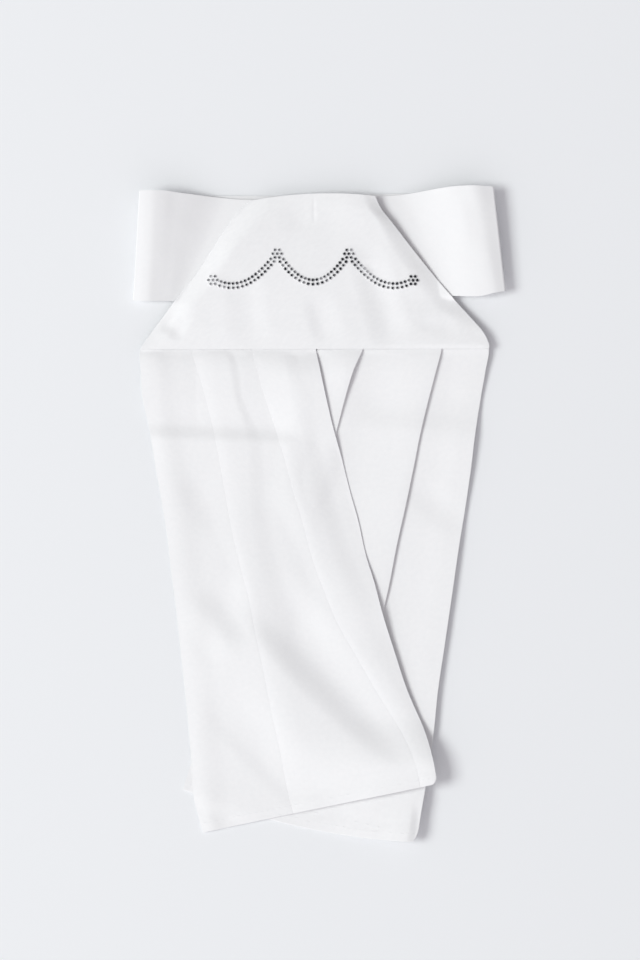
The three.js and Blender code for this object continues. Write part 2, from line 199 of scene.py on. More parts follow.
def smoothTable(rows, spacing, nearEnd=()):
    # reads every column of a table along a smooth curve through its rows, at even distances, and
    # at a few more distances from its end
    columns = list(rows[0])
    values = np.array([[row[name] for name in columns] for row in rows], float)
    padded = np.concatenate([values[:1], values, values[-1:]])
    t = np.linspace(0, 1, curveSteps, endpoint=False)[:, None]
    fine = [0.5 * (2 * first + (second - before) * t
                   + (2 * before - 5 * first + 4 * second - after) * t * t
                   + (3 * first - before - 3 * second + after) * t * t * t)
            for before, first, second, after in zip(padded, padded[1:], padded[2:], padded[3:])]
    fine = np.concatenate([*fine, values[-1:]])
    outerX, outerY, innerX, innerY = (fine[:, columns.index(name)]
                                      for name in ("outerX", "outerY", "innerX", "innerY"))
    middle = np.stack([(outerX + innerX) / 2, (outerY + innerY) / 2], 1)
    length = walked(middle)
    places = np.linspace(0, length[-1], int(round(length[-1] / spacing)) + 1)
    places = np.sort(np.concatenate([places, length[-1] - np.array(nearEnd)]))
    table = {name: np.interp(places, length, fine[:, index]) for index, name in enumerate(columns)}
    table["along"] = places
    return table


def rowAt(table, index):
    # one row of a table of columns
    return {name: column[index] for name, column in table.items()}


def halfTurn(centre, fromHeight, toHeight, bulge, steps):
    # the points inside a half turn of cloth, between two straight ends
    angles = np.pi * np.arange(1, steps) / steps
    middle = (fromHeight + toHeight) / 2
    return centre + bulge * np.sin(angles), middle + (fromHeight - middle) * np.cos(angles)


def gridNormals(grid):
    # the way that a grid of points faces at each point
    padded = np.pad(grid, ((1, 1), (1, 1), (0, 0)), mode="edge")
    alongRows = padded[2:, 1:-1] - padded[:-2, 1:-1]
    acrossRows = padded[1:-1, 2:] - padded[1:-1, :-2]
    normals = np.cross(acrossRows, alongRows)
    return normals / np.linalg.norm(normals, axis=2, keepdims=True)


# Edges of cloth that turn by more than this, in degrees, are shaded sharp
sharpAngle = 58


def clothMesh(name, grid, thickness, flatAcross, flatAlong):
    # a closed cloth wall round a grid of points in the middle of the cloth, with its flat pattern as
    # UV; the thickness is one value or one for each point
    rows, columns = grid.shape[:2]
    grid = grid + np.array([shiftX, shiftY, 0.0])
    normals = gridNormals(grid)
    depth = np.broadcast_to(thickness, (rows, columns))[..., None] / 2
    front = (grid + normals * depth).reshape(-1, 3)
    back = (grid - normals * depth).reshape(-1, 3)
    verts = np.concatenate([front, back]) * mm

    index = np.arange(rows * columns).reshape(rows, columns)
    a, b = index[:-1, :-1].ravel(), index[:-1, 1:].ravel()
    c, d = index[1:, 1:].ravel(), index[1:, :-1].ravel()
    under = rows * columns
    rimFrom = np.concatenate([index[0, :-1], index[:-1, -1], index[-1, 1:], index[1:, 0]])
    rimTo = np.concatenate([index[0, 1:], index[1:, -1], index[-1, :-1], index[:-1, 0]])
    faces = np.concatenate([
        np.stack([a, b, c, d], 1),
        np.stack([a + under, d + under, c + under, b + under], 1),
        np.stack([rimTo, rimFrom, rimFrom + under, rimTo + under], 1),
    ])
    mesh = newMesh(name, verts.tolist(), faces.tolist())
    layer = mesh.uv_layers.new(name="flatPattern")
    u = np.broadcast_to(flatAcross, (rows, columns)).ravel()
    v = np.broadcast_to(flatAlong, (rows, columns)).ravel()
    both = np.stack([np.concatenate([u, u]), np.concatenate([v, v])], 1) * mm
    layer.data.foreach_set("uv", both[faces.ravel()].ravel())
    mesh.polygons.foreach_set("use_smooth", np.ones(len(faces), bool))
    mesh.set_sharp_from_angle(angle=math.radians(sharpAngle))
    mesh.validate()
    return newObject(name, mesh)


def flatArea(piece):
    # half the surface of a thin closed wall, in square metres
    return sum(face.area for face in piece.data.polygons) / 2


# A height map of the top of one cloth, spread and blurred so many times, so that the next cloth
# can rest on it

class Underlay:
    def __init__(self, grid, lift, spread, blur):
        self.cell = 1.5
        self.size = 300
        self.heights = np.zeros((self.size, self.size))
        column, row = self.place(grid[..., 0].ravel(), grid[..., 1].ravel())
        target = (np.round(row).astype(int), np.round(column).astype(int))
        np.maximum.at(self.heights, target, grid[..., 2].ravel() + lift)
        for _ in range(spread):
            shifted = [np.roll(self.heights, step, axis) for axis in (0, 1) for step in (-1, 1)]
            self.heights = np.maximum.reduce([self.heights, *shifted])
        for axis in (0, 1) * blur:
            sides = np.roll(self.heights, 1, axis) + np.roll(self.heights, -1, axis)
            self.heights = (2 * self.heights + sides) / 4

    def place(self, x, y):
        return np.asarray(x) / self.cell + self.size / 2, np.asarray(y) / self.cell + self.size / 2

    def at(self, x, y):
        column, row = self.place(x, y)
        c = np.floor(column).astype(int)
        r = np.floor(row).astype(int)
        near = mix(self.heights[r, c], self.heights[r, c + 1], column - c)
        far = mix(self.heights[r + 1, c], self.heights[r + 1, c + 1], column - c)
        return mix(near, far, row - r)


# Materials

class ShaderValue:
    def __init__(self, tree, socket=None):
        self.tree = tree
        self.socket = socket

    def node(self, kind, inputs=(), settings=(), output=0):
        return ShaderValue(self.tree, makeNode(self.tree, kind, inputs, settings).outputs[output])

    def math(self, operation, other=0.0):
        return self.node("ShaderNodeMath", {0: self, 1: other}, {"operation": operation})

    def __add__(self, other):
        return self.math("ADD", other)

    def __sub__(self, other):
        return self.math("SUBTRACT", other)

    def __rsub__(self, other):
        return self.node("ShaderNodeMath", {0: other, 1: self}, {"operation": "SUBTRACT"})

    def __mul__(self, other):
        return self.math("MULTIPLY", other)

    def __pow__(self, other):
        return self.math("POWER", other)

    __radd__ = __add__
    __rmul__ = __mul__

    def sine(self):
        return self.math("SINE")

    def parts(self):
        # the first two parts of a vector
        split = self.node("ShaderNodeSeparateXYZ", {0: self}).socket.node
        return ShaderValue(self.tree, split.outputs[0]), ShaderValue(self.tree, split.outputs[1])

    def blend(self, first, second):
        # a colour between two; the colour sockets of a mix node can only be told by their numbers
        return self.node("ShaderNodeMix", {0: self, 6: first, 7: second},
                         {"data_type": "RGBA"}, output=2)


def newMaterial(name, constants):
    # a material, a value to begin its maths with, and its shader
    material = bpy.data.materials.new(name)
    material.use_nodes = True
    tree = material.node_tree
    shader = tree.nodes["Principled BSDF"]
    for socket, value in constants.items():
        shader.inputs[socket].default_value = value
    return material, ShaderValue(tree), shader


def feed(shader, name, value):
    value.tree.links.new(value.socket, shader.inputs[name])


def clothMaterial(name, look):
    # fine woven cloth: warp and weft threads as bump, faint slubs in colour and gloss
    material, start, shader = newMaterial(name, look["constants"])
    uv = start.node("ShaderNodeUVMap", settings={"uv_map": "flatPattern"})
    u, v = uv.parts()
    turn = 2 * math.pi
    warp = (u * (turn / look["warpPitch"])).sine()
    weft = (v * (turn / look["weftPitch"])).sine()
    twill = ((u + v * look["twillSlope"]) * (turn / look["twillPitch"])).sine()
    weave = warp * look["warpShare"] + weft * look["weftShare"] + twill * look["twillShare"]
    slubs = start.node("ShaderNodeTexNoise", {"Vector": uv, "Scale": look["slubScale"], "Detail": 3.0})
    crumple = start.node("ShaderNodeTexNoise",
                         {"Vector": uv, "Scale": look["crumpleScale"], "Detail": 4.0})
    shade = start.node("ShaderNodeMapRange", {0: slubs, 1: look["slubDeep"], 2: look["slubPale"]})
    feed(shader, "Base Color", shade.blend(look["deepColour"], look["paleColour"]))
    feed(shader, "Roughness", slubs * look["glossSpread"] + look["roughness"])
    fine = start.node("ShaderNodeBump", {"Height": weave, "Strength": look["weaveStrength"],
                                         "Distance": look["weaveDepth"]})
    soft = start.node("ShaderNodeBump", {"Height": crumple, "Strength": look["crumpleStrength"],
                                         "Distance": look["crumpleDepth"], "Normal": fine})
    feed(shader, "Normal", soft)
    return material


clothLook = {
    "constants": {"Sheen Weight": 0.12, "Sheen Roughness": 0.5, "Specular IOR Level": 0.35},
    "paleColour": (0.918, 0.912, 0.923, 1),
    "deepColour": (0.894, 0.89, 0.903, 1),
    "warpPitch": 0.00034,
    "weftPitch": 0.0004,
    "twillPitch": 0.00062,
    "twillSlope": 0.6,
    "warpShare": 0.35,
    "weftShare": 0.3,
    "twillShare": 0.6,
    "weaveStrength": 0.25,
    "weaveDepth": 0.00004,
    "slubScale": 420.0,
    "slubDeep": 0.3,
    "slubPale": 0.7,
    "crumpleScale": 160.0,
    "crumpleStrength": 0.12,
    "crumpleDepth": 0.0004,
    "roughness": 0.6,
    "glossSpread": 0.12,
}
tailCloth = clothMaterial("tailCloth", clothLook)
yokeLook = {"twillSlope": -0.6, "paleColour": (0.924, 0.919, 0.93, 1)}
bandLook = {"warpPitch": 0.00038, "paleColour": (0.908, 0.902, 0.913, 1)}
yokeCloth = clothMaterial("yokeCloth", clothLook | yokeLook)
bandCloth = clothMaterial("bandCloth", clothLook | bandLook)


fastenerLook = {
    "constants": {"Roughness": 0.95, "Sheen Weight": 0.4},
    "texture": "ShaderNodeTexVoronoi",
    "textureInputs": {"Scale": 1600.0},
    "deepColour": (0.7, 0.7, 0.72, 1),
    "paleColour": (0.88, 0.88, 0.9, 1),
    "bump": {"Strength": 0.7, "Distance": 0.0003},
}
# painted reflections for the stones: the deep colour is a painted dark reflection of the room, the pale
# one a painted glint
stoneLook = {
    "constants": {"Roughness": 0.08},
    "deepColour": (0.035, 0.037, 0.043, 1),
    "paleColour": (0.9, 0.905, 0.92, 1),
    "stoneGlintSpread": 0.5,
    "glintPatchSpread": 1.1,
    "glintPatchScale": 70.0,
    "darker": 0.55,
    "paleLessMetallic": 0.8,
}
threadLook = {
    "constants": {"Sheen Weight": 0.2},
    "texture": "ShaderNodeTexWave",
    "textureInputs": {"Scale": 1500.0, "Distortion": 1.0},
    "deepColour": (0.84, 0.84, 0.86, 1),
    "paleColour": (0.92, 0.92, 0.93, 1),
    "roughness": 0.5,
    "glossSpread": 0.2,
}


def shadedMaterial(name, look):
    # a finish between two colours by a texture, with bump or gloss from the same texture
    material, start, shader = newMaterial(name, look["constants"])
    place = start.node("ShaderNodeTexCoord", output="Object")
    texture = start.node(look["texture"], {"Vector": place} | look["textureInputs"])
    feed(shader, "Base Color", texture.blend(look["deepColour"], look["paleColour"]))
    if "bump" in look:
        feed(shader, "Normal", start.node("ShaderNodeBump", {"Height": texture} | look["bump"]))
    if "glossSpread" in look:
        feed(shader, "Roughness", texture * look["glossSpread"] + look["roughness"])
    return material


def stoneMaterial(look):
    # foil-backed cut stones whose colour holds painted reflections: dark at the table, pale round it, and
    # each stone and patch of stones a little different as a painted glint; pale faces are made less
    # metallic
    material, start, shader = newMaterial("cutStones", look["constants"])
    place = start.node("ShaderNodeTexCoord", output="Object")
    facet = start.node("ShaderNodeAttribute", settings={"attribute_name": "paintedFacetReflection"}, output="Fac")
    stone = start.node("ShaderNodeAttribute", settings={"attribute_name": "stoneShade"}, output="Fac")
    glintPatches = start.node("ShaderNodeTexNoise",
                         {"Vector": place, "Scale": look["glintPatchScale"], "Detail": 0.0})
    # how much painted glint each face gets: its facet's painted reflection, a random one for its stone
    # and one for its patch of stones
    raw = facet + stone ** 3 * look["stoneGlintSpread"] + glintPatches * look["glintPatchSpread"] - look["darker"]
    shade = start.node("ShaderNodeMapRange", {0: raw})
    feed(shader, "Base Color", shade.blend(look["deepColour"], look["paleColour"]))
    feed(shader, "Metallic", 1 - shade * look["paleLessMetallic"])
    return material


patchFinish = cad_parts["closure_patch"].data.materials
patchFinish.clear()
patchFinish.append(shadedMaterial("fastenerLoops", fastenerLook))
print("stage: materials made")


# Tails. One row for each cut across, from the end sewn behind the yoke to the hem, in millimetres.
# The folds are given as shares of the width, counted from the outer edge. Of the settings, the
# steps say how many grid lines a stretch of a cut has, and besideTurn, groove, openedGap and
# coveredFrom set grid lines close to turns and folds. A panel stays up for rise past the tuck below
# it, comes up to the next fold between levelRun and levelEnd before it, and drops again over the
# last grooveRun. At the seam each panel stands seamStack layers high, within stackRun of its fold.

tail = {
    "thickness": 0.2,
    "pitch": 0.23,
    "hemTurn": 6.0,
    "besideTurn": 0.05,
    "rise": 1.5,
    "seamFall": 20,
    "stackRun": 8,
    "levelRun": 16.0,
    "levelEnd": 2,
    "grooveRun": 0.5,
    "groove": (-0.9, 0.1, 0.5),
    "openedGap": 0.6,
    "coveredFrom": 1.0,
    "hiddenSteps": 8,
    "riseSteps": 14,
    "panelSteps": 34,
    "grooveSteps": 11,
    "coveredSteps": 6,
    "foldedSteps": 10,
    "turnSteps": 5,
    "puffReach": 20.0,
    "swellFall": 20.0,
    "rowSpacing": 1.4,
    "softRows": 9,
    "flatAtFold": 0.3,
    "puff": 0.05,
    "firstFall": 12.0,
    "seamStack": 2.0,
    "seamY": 87.7,
    "seamRun": 4.0,
    "seamEnds": (-2, 3),
    "swellEnds": (22, 66),
    "pressEnds": (40, 160),
    "edgeSwell": (-3, 6, 17),
    "hemEnds": (6.0, 8.0),
    "hemLeast": 0.04,
    "hemExtra": 0.6,
    "hemRound": 0.3,
    "hemRows": (0.9, 0.5, 0.3, 0.15, 0.05),
}

leftTailRows = tableOf("outerX outerY innerX innerY foldOne foldTwo", [
    (-88.5, 94.0, -1.8, 94.0, 0.26, 0.62),
    (-94.4, 87.5, -1.4, 87.7, 0.291, 0.637),
    (-94.2, 76.0, 0.8, 77.0, 0.318, 0.65),
    (-93.3, 62.0, 3.8, 63.0, 0.343, 0.667),
    (-89.5, 44.5, 7.8, 46.0, 0.347, 0.685),
    (-86.8, 28.0, 12.0, 31.0, 0.347, 0.695),
    (-83.4, 8.0, 16.8, 12.0, 0.342, 0.704),
    (-80.6, -9.0, 21.0, -3.0, 0.34, 0.713),
    (-78.3, -29.0, 25.0, -21.0, 0.353, 0.726),
    (-75.9, -47.0, 29.6, -36.0, 0.365, 0.742),
    (-73.6, -68.0, 34.4, -54.0, 0.372, 0.774),
    (-71.3, -89.0, 40.4, -73.0, 0.378, 0.822),
    (-69.2, -110.0, 47.0, -93.0, 0.379, 0.868),
    (-67.2, -133.0, 56.0, -114.0, 0.381, 0.905),
    (-66.0, -151.0, 60.4, -129.0, 0.386, 0.925),
    (-61.2, -168.8, 62.8, -142.3, 0.386, 0.93),
])

rightTailRows = tableOf("outerX outerY innerX innerY foldOne foldTwo bow", [
    (84.5, 94.0, -0.7, 94.0, 0.25, 0.71, 0),
    (90.3, 88.5, -0.9, 87.7, 0.274, 0.731, 0),
    (88.6, 76.0, -4.5, 76.5, 0.282, 0.752, 0),
    (86.2, 62.0, -8.7, 63.0, 0.289, 0.756, 0),
    (83.2, 43.0, -14.2, 44.0, 0.298, 0.757, 0),
    (80.9, 24.0, -19.7, 27.0, 0.302, 0.758, 0),
    (77.9, 3.0, -26.0, 7.0, 0.306, 0.763, 0.5),
    (74.6, -17.0, -31.6, -11.0, 0.31, 0.767, 1.0),
    (71.0, -42.0, -38.5, -34.0, 0.313, 0.768, 2.0),
    (67.5, -66.0, -45.0, -56.0, 0.33, 0.768, 2.8),
    (63.5, -93.0, -52.0, -80.0, 0.37, 0.77, 3.8),
    (61.2, -115.0, -58.0, -100.0, 0.43, 0.772, 4.4),
    (57.9, -138.0, -63.8, -120.0, 0.51, 0.774, 5.2),
    (54.7, -156.0, -68.0, -133.5, 0.59, 0.79, 5.7),
    (52.7, -168.0, -70.8, -142.0, 0.64, 0.81, 5.9),
    (50.2, -173.2, -71.8, -146.0, 0.66, 0.82, 6.0),
])

# How the cloth stands along each tail: at a height y, how far each tuck reaches under its pleat, over
# what length the pleat comes down behind it (fall), how high its fold stands clear (puff) or swells
# beside the fold (swell, between two distances from it), how high the outer rim swells (edge), how
# high the outer edge, the middle and the inner edge are held, and how far in the middle begins (climb).
leftTailStand = tableOf("y tuckOne tuckTwo fallOne fallTwo swellOne swellTwo edge outer middle inner "
                        "climb swellFrom swellTo", [
    (94, 14, 13, 6, 8, 0.0, 0.0, 0.0, 2.4, 2.6, 0.1, 30, -1, 5),
    (86, 16, 14, 5, 9, 0.05, 0.0, 0.35, 2.6, 2.7, 0.1, 30, -1, 5),
    (76, 15, 13, 6, 9, 0.0, -0.05, 0.2, 2.6, 2.8, 1.0, 30, -1, 5),
    (61, 13, 11, 5, 14, 0.0, 0.0, 0.1, 2.7, 2.9, 0.9, 30, -1, 5),
    (40, 15, 11, 9, 9, 0.12, 0.15, 0.35, 2.0, 2.4, 0.4, 35, -1, 5),
    (8, 10, 7.5, 10, 13, 0.35, 0.7, 0.3, 1.6, 1.8, 0.0, 45, -16, 3),
    (-24, 7, 9, 13, 12, 0.4, 0.4, 0.2, 1.5, 2.0, 0.15, 60, -6, 3),
    (-56, 7, 8, 16, 14, 0.3, 0.1, 0.3, 1.2, 2.8, 2.0, 66, -12, 3),
    (-88, 6, 7, 20, 14, 0.1, 0.1, 0.2, 1.0, 3.6, 1.9, 70, -8, 3),
    (-120, 5, 5, 20, 12, 0.15, 0.1, 0.25, 0.9, 3.6, 1.1, 72, -12, 3),
    (-165, 4, 4, 20, 8, 0.0, 0.05, 0.25, 0.8, 2.6, 0.9, 74, -8, 3),
])

rightTailStand = tableOf("y tuckOne tuckTwo fallOne fallTwo puffOne puffTwo outer middle inner", [
    (94, 11, 11, 20, 10, 0.0, 0.0, 2.6, 2.3, 2.0),
    (86, 11, 11, 24, 14, 1.0, 1.1, 2.8, 2.3, 1.8),
    (76, 10.7, 10.7, 24, 14, 1.3, 2.3, 2.0, 1.7, 1.4),
    (61, 10.4, 10.4, 24, 14, 1.2, 1.2, 1.4, 1.0, 1.0),
    (40, 9.8, 9.8, 24, 14, 1.1, 0.7, 3.0, 0.7, 0.6),
    (8, 9, 9, 24, 14, 1.3, 0.4, 1.9, 0.6, 0.5),
    (-24, 8.2, 8.2, 24, 14, 1.2, 0.3, 2.6, 0.6, 0.5),
    (-56, 7.2, 7.2, 24, 14, 0.8, 0.3, 2.6, 0.6, 0.5),
    (-88, 6.4, 6.4, 24, 14, 0.3, 0.3, 2.6, 0.6, 0.5),
    (-120, 5.4, 5.4, 20, 14, 0.1, 0.2, 3.0, 0.6, 0.5),
    (-170, 4.5, 4.5, 16, 12, 0.0, 0.1, 3.8, 0.7, 0.5),
])


def standAt(table, y):
    # the columns of a stand table at a set of heights, softened along the cloth
    levels = [-row["y"] for row in table]
    kernel = np.hanning(tail["softRows"] + 2)[1:-1]
    kernel /= kernel.sum()
    result = {}
    for name in table[0]:
        values = np.interp(-y, levels, [row[name] for row in table])
        padded = np.pad(values, len(kernel) // 2, mode="edge")
        result[name] = np.convolve(padded, kernel, "valid")
    return result


def pleatSection(width, folds, stand, atSeam, pressed, reach, flush, gain):
    # one cut across a tail, from the turned-under outer edge to the inner edge: how high the cloth
    # lies and how thin it is pressed, at places across it; pressed is the share of the thickness
    # left at a fold, reach how far beside the fold that fades, flush how far a panel comes up to the
    # next fold, and gain how many times thicker the cloth is than away from the hem
    pitch = tail["pitch"] * gain
    tight = pitch * pressed
    half = tail["thickness"] * gain * pressed / 2
    across, height, press = [], [], []

    def pressedShare(s, fold):
        # cloth is pressed thinner and closer together next to a fold
        return mix(1.0, pressed, np.exp(-np.maximum(np.abs(s - fold) - tail["flatAtFold"], 0) / reach))

    def run(start, end, count, heightAt, fold, beside=None):
        places = np.linspace(start, end, count)
        if beside:
            places = np.insert(places, 1, start + beside)
        across.append(places)
        height.append(heightAt(places))
        press.append(pressedShare(places, fold))

    def turnAt(centre, low, high, bulge, share):
        places, heights = halfTurn(centre, low, high, bulge, tail["turnSteps"])
        across.append(places)
        height.append(heights)
        press.append(np.full(len(places), share))

    start = tight / 2 + half
    run(tail["hemTurn"], start, tail["hiddenSteps"], np.zeros_like, 0.0)
    turnAt(start, 0.0, tight, -tight / 2, pressed)
    fold = 0.0
    puff = 0.0
    layers = 1.0
    covered = tail["hemTurn"]
    fall = tail["firstFall"]
    grooveFrom, grooveTo, grooveGap = tail["groove"]
    tucks = (stand["tuckOne"], stand["tuckTwo"])
    falls = (stand["fallOne"], stand["fallTwo"])
    puffs = (stand.get("puffOne", tail["puff"]), stand.get("puffTwo", tail["puff"]))
    for index, nextFold in enumerate([*folds, None]):
        last = nextFold is None
        end = width if last else nextFold + tucks[index] - pitch / 2 - half
        fallFrom = mix(covered + tail["rise"], end + tail["seamFall"], atSeam)
        extra = pitch * mix(layers, tail["seamStack"], atSeam) - pitch * layers
        level = width * 2 if last else nextFold

        def panel(s, fold=fold, puff=puff, layers=layers, extra=extra, fallFrom=fallFrom, fall=fall,
                  level=level):
            # the panel comes up to the height of the next fold, and dips just before it
            lifted = puff * np.exp(-((s - fold) / tail["puffReach"]) ** 2)
            stack = pitch * layers * pressedShare(s, fold)
            stack = stack + extra * ease(s, fold, fold + tail["stackRun"])
            upTo = flush * tight * ease(s, level - tail["levelRun"], level - tail["levelEnd"])
            upTo = upTo * (1 - ease(s, level - tail["grooveRun"], level))
            return stack * (1 - ease(s, fallFrom, fallFrom + fall)) + lifted + upTo

        run(start, covered + tail["rise"], tail["riseSteps"], panel, fold, tail["besideTurn"])
        opened = covered + tail["rise"] + tail["openedGap"]
        if last:
            run(opened, end, tail["panelSteps"], panel, fold)
            break
        run(opened, nextFold + grooveFrom - grooveGap, tail["panelSteps"], panel, fold)
        run(nextFold + grooveFrom, nextFold + grooveTo, tail["grooveSteps"], panel, fold)
        run(nextFold + tail["coveredFrom"], end, tail["coveredSteps"], panel, fold)
        fold = nextFold
        puff = puffs[index]

        def folded(s, fold=fold, puff=puff):
            return pitch * pressedShare(s, fold) + puff * np.exp(-((s - fold) / tail["puffReach"]) ** 2)

        turnAt(end, panel(np.array([end]))[0], folded(np.array([end]))[0], pitch / 2, 1.0)
        start = fold + tight / 2 + half
        run(end, start, tail["foldedSteps"], folded, fold)
        turned = folded(np.array([start]))[0]
        turnAt(start, turned, turned + tight, -tight / 2, pressed)
        layers = 2.0
        covered = fold + tucks[index]
        fall = falls[index]
    return np.concatenate(across), np.concatenate(height), np.concatenate(press)


def tailGrid(rows, standTable, liftAt, press):
    # the middle of the cloth, its flat pattern and its thickness, over the whole tail; how far the
    # panels come up to the next fold changes from the seam to the hem
    table = smoothTable(rows, tail["rowSpacing"], tail["hemRows"])
    stands = standAt(standTable, (table["outerY"] + table["innerY"]) / 2)
    count = len(table["along"])
    fromHem = table["along"][-1] - table["along"]
    gains = 1 + tail["hemExtra"] * (1 - ease(fromHem, *tail["hemEnds"]))
    rims = np.sqrt(1 - (1 - np.clip(fromHem / tail["hemRound"], tail["hemLeast"], 1)) ** 2)
    points, flat, presses = [], [], []
    for index in range(count):
        row = rowAt(table, index)
        stand = rowAt(stands, index)
        width = math.hypot(row["innerX"] - row["outerX"], row["innerY"] - row["outerY"])
        belowSeam = tail["seamY"] - (row["outerY"] + row["innerY"]) / 2
        atSeam = 1 - float(ease(belowSeam, *tail["seamEnds"]))
        folds = (row["foldOne"] * width, row["foldTwo"] * width)
        down = float(ease(belowSeam, *tail["pressEnds"]))
        flush = mix(press["flushAtSeam"], press["flushAtHem"], down)
        across, height, thinner = pleatSection(
            width, folds, stand, atSeam, press["share"], press["reach"], flush, gains[index])
        share = across / width
        x = mix(row["outerX"], row["innerX"], share)
        y = mix(row["outerY"], row["innerY"], share) - row.get("bow", 0) * 4 * share * (1 - share)
        for fold, name in zip(folds, ("swellOne", "swellTwo")):
            away = across - fold
            if name in stand:
                hump = ease(away, stand["swellFrom"], stand["swellTo"])
                hump = hump * (1 - ease(away, stand["swellTo"], tail["swellFall"]))
                height = height + stand[name] * hump
        outside, crest, inside = tail["edgeSwell"]
        rim = ease(across, outside, crest) * (1 - ease(across, crest, inside))
        height = height + stand.get("edge", 0.0) * rim
        stand["edgeAt"] = (row["innerX"], row["innerY"])
        z = tail["thickness"] * gains[index] / 2 + height + liftAt(x, y, across, width, stand)
        points.append(np.stack([x, y, z], 1))
        flat.append(walked(np.stack([across, height], 1)))
        presses.append(thinner * gains[index] * rims[index])
    thickness = tail["thickness"] * np.array(presses)
    return np.array(points), np.array(flat), table["along"][:, None], thickness


def seamSwell(x, y, knots):
    # the tails come out from under the yoke's edge and swell
    below = np.maximum(tail["seamY"] - y, 0)
    height = np.interp(x, [knot[0] for knot in knots], [knot[1] for knot in knots])
    return height * (1 - np.exp(-below / tail["seamRun"])) * (1 - ease(below, *tail["swellEnds"]))


def cornerLift(x, y, corner):
    # a hem corner stands up, rising to the right and towards the hem
    sideways = ease(x, corner["fromX"], corner["toX"])
    return corner["height"] * sideways * (1 - ease(y, corner["toY"], corner["fromY"]))


rightTail = {
    "outerReach": 44,
    "outerPower": 1.15,
    "innerReach": 30,
    "hills": [(0.16, 26, 3), (0.06, 11, 4)],
    "leastLift": 0.03,
    "press": {"share": 0.8, "reach": 2, "flushAtSeam": 0.0, "flushAtHem": 0.0},
    "swell": [(-20, 0.4), (2, 0.6), (14, 1.0), (44, 0.7), (70, 0.2), (90, 0.0)],
    "corner": {"fromX": -15, "toX": 54, "fromY": -120, "toY": -172, "height": 3.6},
    "strokes": [
        stroke((14, 51), (88, 48), 12, 24, 0.7),
        stroke((46, 12), (74, -12), 12, 12, 0.4),
        stroke((51.5, -154), (48.2, -179), 5, 40, 1.0, fade=0.3),
    ],
}


def rightTailLift(x, y, across, width, stand):
    outer = np.clip(1 - across / rightTail["outerReach"], 0, 1) ** rightTail["outerPower"]
    inner = ease(across, width - rightTail["innerReach"], width)
    held = stand["middle"] + (stand["outer"] - stand["middle"]) * outer
    held = held + (stand["inner"] - stand["middle"]) * inner
    lift = held + hills(x, y, rightTail["hills"]) + seamSwell(x, y, rightTail["swell"])
    lift = lift - strokeDepth(rightTail["strokes"], x, y) + cornerLift(x, y, rightTail["corner"])
    return np.maximum(lift, rightTail["leastLift"])


rightGrid, rightAcross, rightAlong, rightThickness = tailGrid(
    rightTailRows, rightTailStand, rightTailLift, rightTail["press"])
rightPiece = clothMesh("right_tail_cloth", rightGrid, rightThickness, rightAcross, rightAlong)

underLeft = Underlay(rightGrid, tail["thickness"] / 2, spread=3, blur=10)

# The left tail rests on the right one: clear is the gap kept, and blend how softly it comes to
# rest. Within edgeRun of its inner edge it goes over to that edge's own height, and it stays at it
# for the last levelHigh above levelEnds and levelLow below. Its strokes are weaker at the outer edge.
leftTail = {
    "outerPower": 1.2,
    "hills": [(0.15, 30, 7), (0.06, 13, 8)],
    "strokesAtEdge": 0.35,
    "strokeRun": 12,
    "press": {"share": 0.3, "reach": 4.5, "flushAtSeam": 0.8, "flushAtHem": 1.0},
    "clear": 0.15,
    "blend": 0.5,
    "edgeRun": 42,
    "levelHigh": 8,
    "levelLow": 1,
    "levelEnds": (-60, -30),
    "swell": [(-94, 1.9), (-84, 1.9), (-65, 1.2), (-56, 1.5), (-40, 1.7), (0, 1.3), (12, 1.0)],
    "corner": {"fromX": -20, "toX": 74, "fromY": -106, "toY": -134, "height": 6.0},
    "cornerRound": 4.0,
    "strokes": [
        stroke((-37.5, -45.5), (64, -139), 20, 21, 3.0, bend=-8.0, crest=0.4, before=50, fade=0.12),
        stroke((-62, -42), (-40, -70), 14, 17, 1.3, crest=0.4, before=14),
        stroke((-59, -105), (-8, -159), 10, 24, 0.7, bend=-1),
        stroke((-57.5, -147), (-53.8, -170), 7, 10, 0.5, fade=0.2),
        stroke((-72, 20), (-58, -10), 14, 32, 0.7),
    ],
    "crease": [
        stroke((-106, 45), (0, 41), 9, 36, 1.7, fade=0.2),
    ],
}


def leftTailLift(x, y, across, width, stand):
    below = underLeft.at(x, y)
    outer = np.clip(1 - across / stand["climb"], 0, 1) ** leftTail["outerPower"]
    held = stand["middle"] + (stand["outer"] - stand["middle"]) * outer
    own = held + hills(x, y, leftTail["hills"]) + seamSwell(x, y, leftTail["swell"])
    strokeShare = mix(leftTail["strokesAtEdge"], 1, ease(across, 0, leftTail["strokeRun"]))
    own = own - strokeDepth(leftTail["strokes"], x, y) * strokeShare
    own = own - strokeDepth(leftTail["crease"], x, y)
    rest = below + leftTail["clear"]
    blend = leftTail["blend"]
    resting = rest + blend * np.logaddexp(0, (own - rest) / blend)
    level = mix(leftTail["levelLow"], leftTail["levelHigh"], ease(y, *leftTail["levelEnds"]))
    edge = ease(across, width - leftTail["edgeRun"] + level, width - level)
    edgeX, edgeY = stand["edgeAt"]
    lift = mix(resting, float(underLeft.at(edgeX, edgeY)) + stand["inner"], edge)
    return np.maximum(lift + cornerLift(x, y, leftTail["corner"]), below + leftTail["clear"])


def roundCorner(grid, rows, radius):
    # rounds the corner between the inner edge and the hem
    above, last = rows[-2:]
    tip = np.array([last["innerX"], last["innerY"]])
    alongHem = np.array([last["outerX"], last["outerY"]]) - tip
    alongEdge = np.array([above["innerX"], above["innerY"]]) - tip
    alongHem /= np.linalg.norm(alongHem)
    alongEdge /= np.linalg.norm(alongEdge)
    centre = tip + radius * (alongHem + alongEdge)
    away = grid[..., :2] - centre
    far = np.linalg.norm(away, axis=2)
    beyond = (away @ alongHem < 0) & (away @ alongEdge < 0) & (far > radius)
    onArc = centre + away * radius / np.maximum(far, radius)[..., None]
    grid[..., :2] = np.where(beyond[..., None], onArc, grid[..., :2])


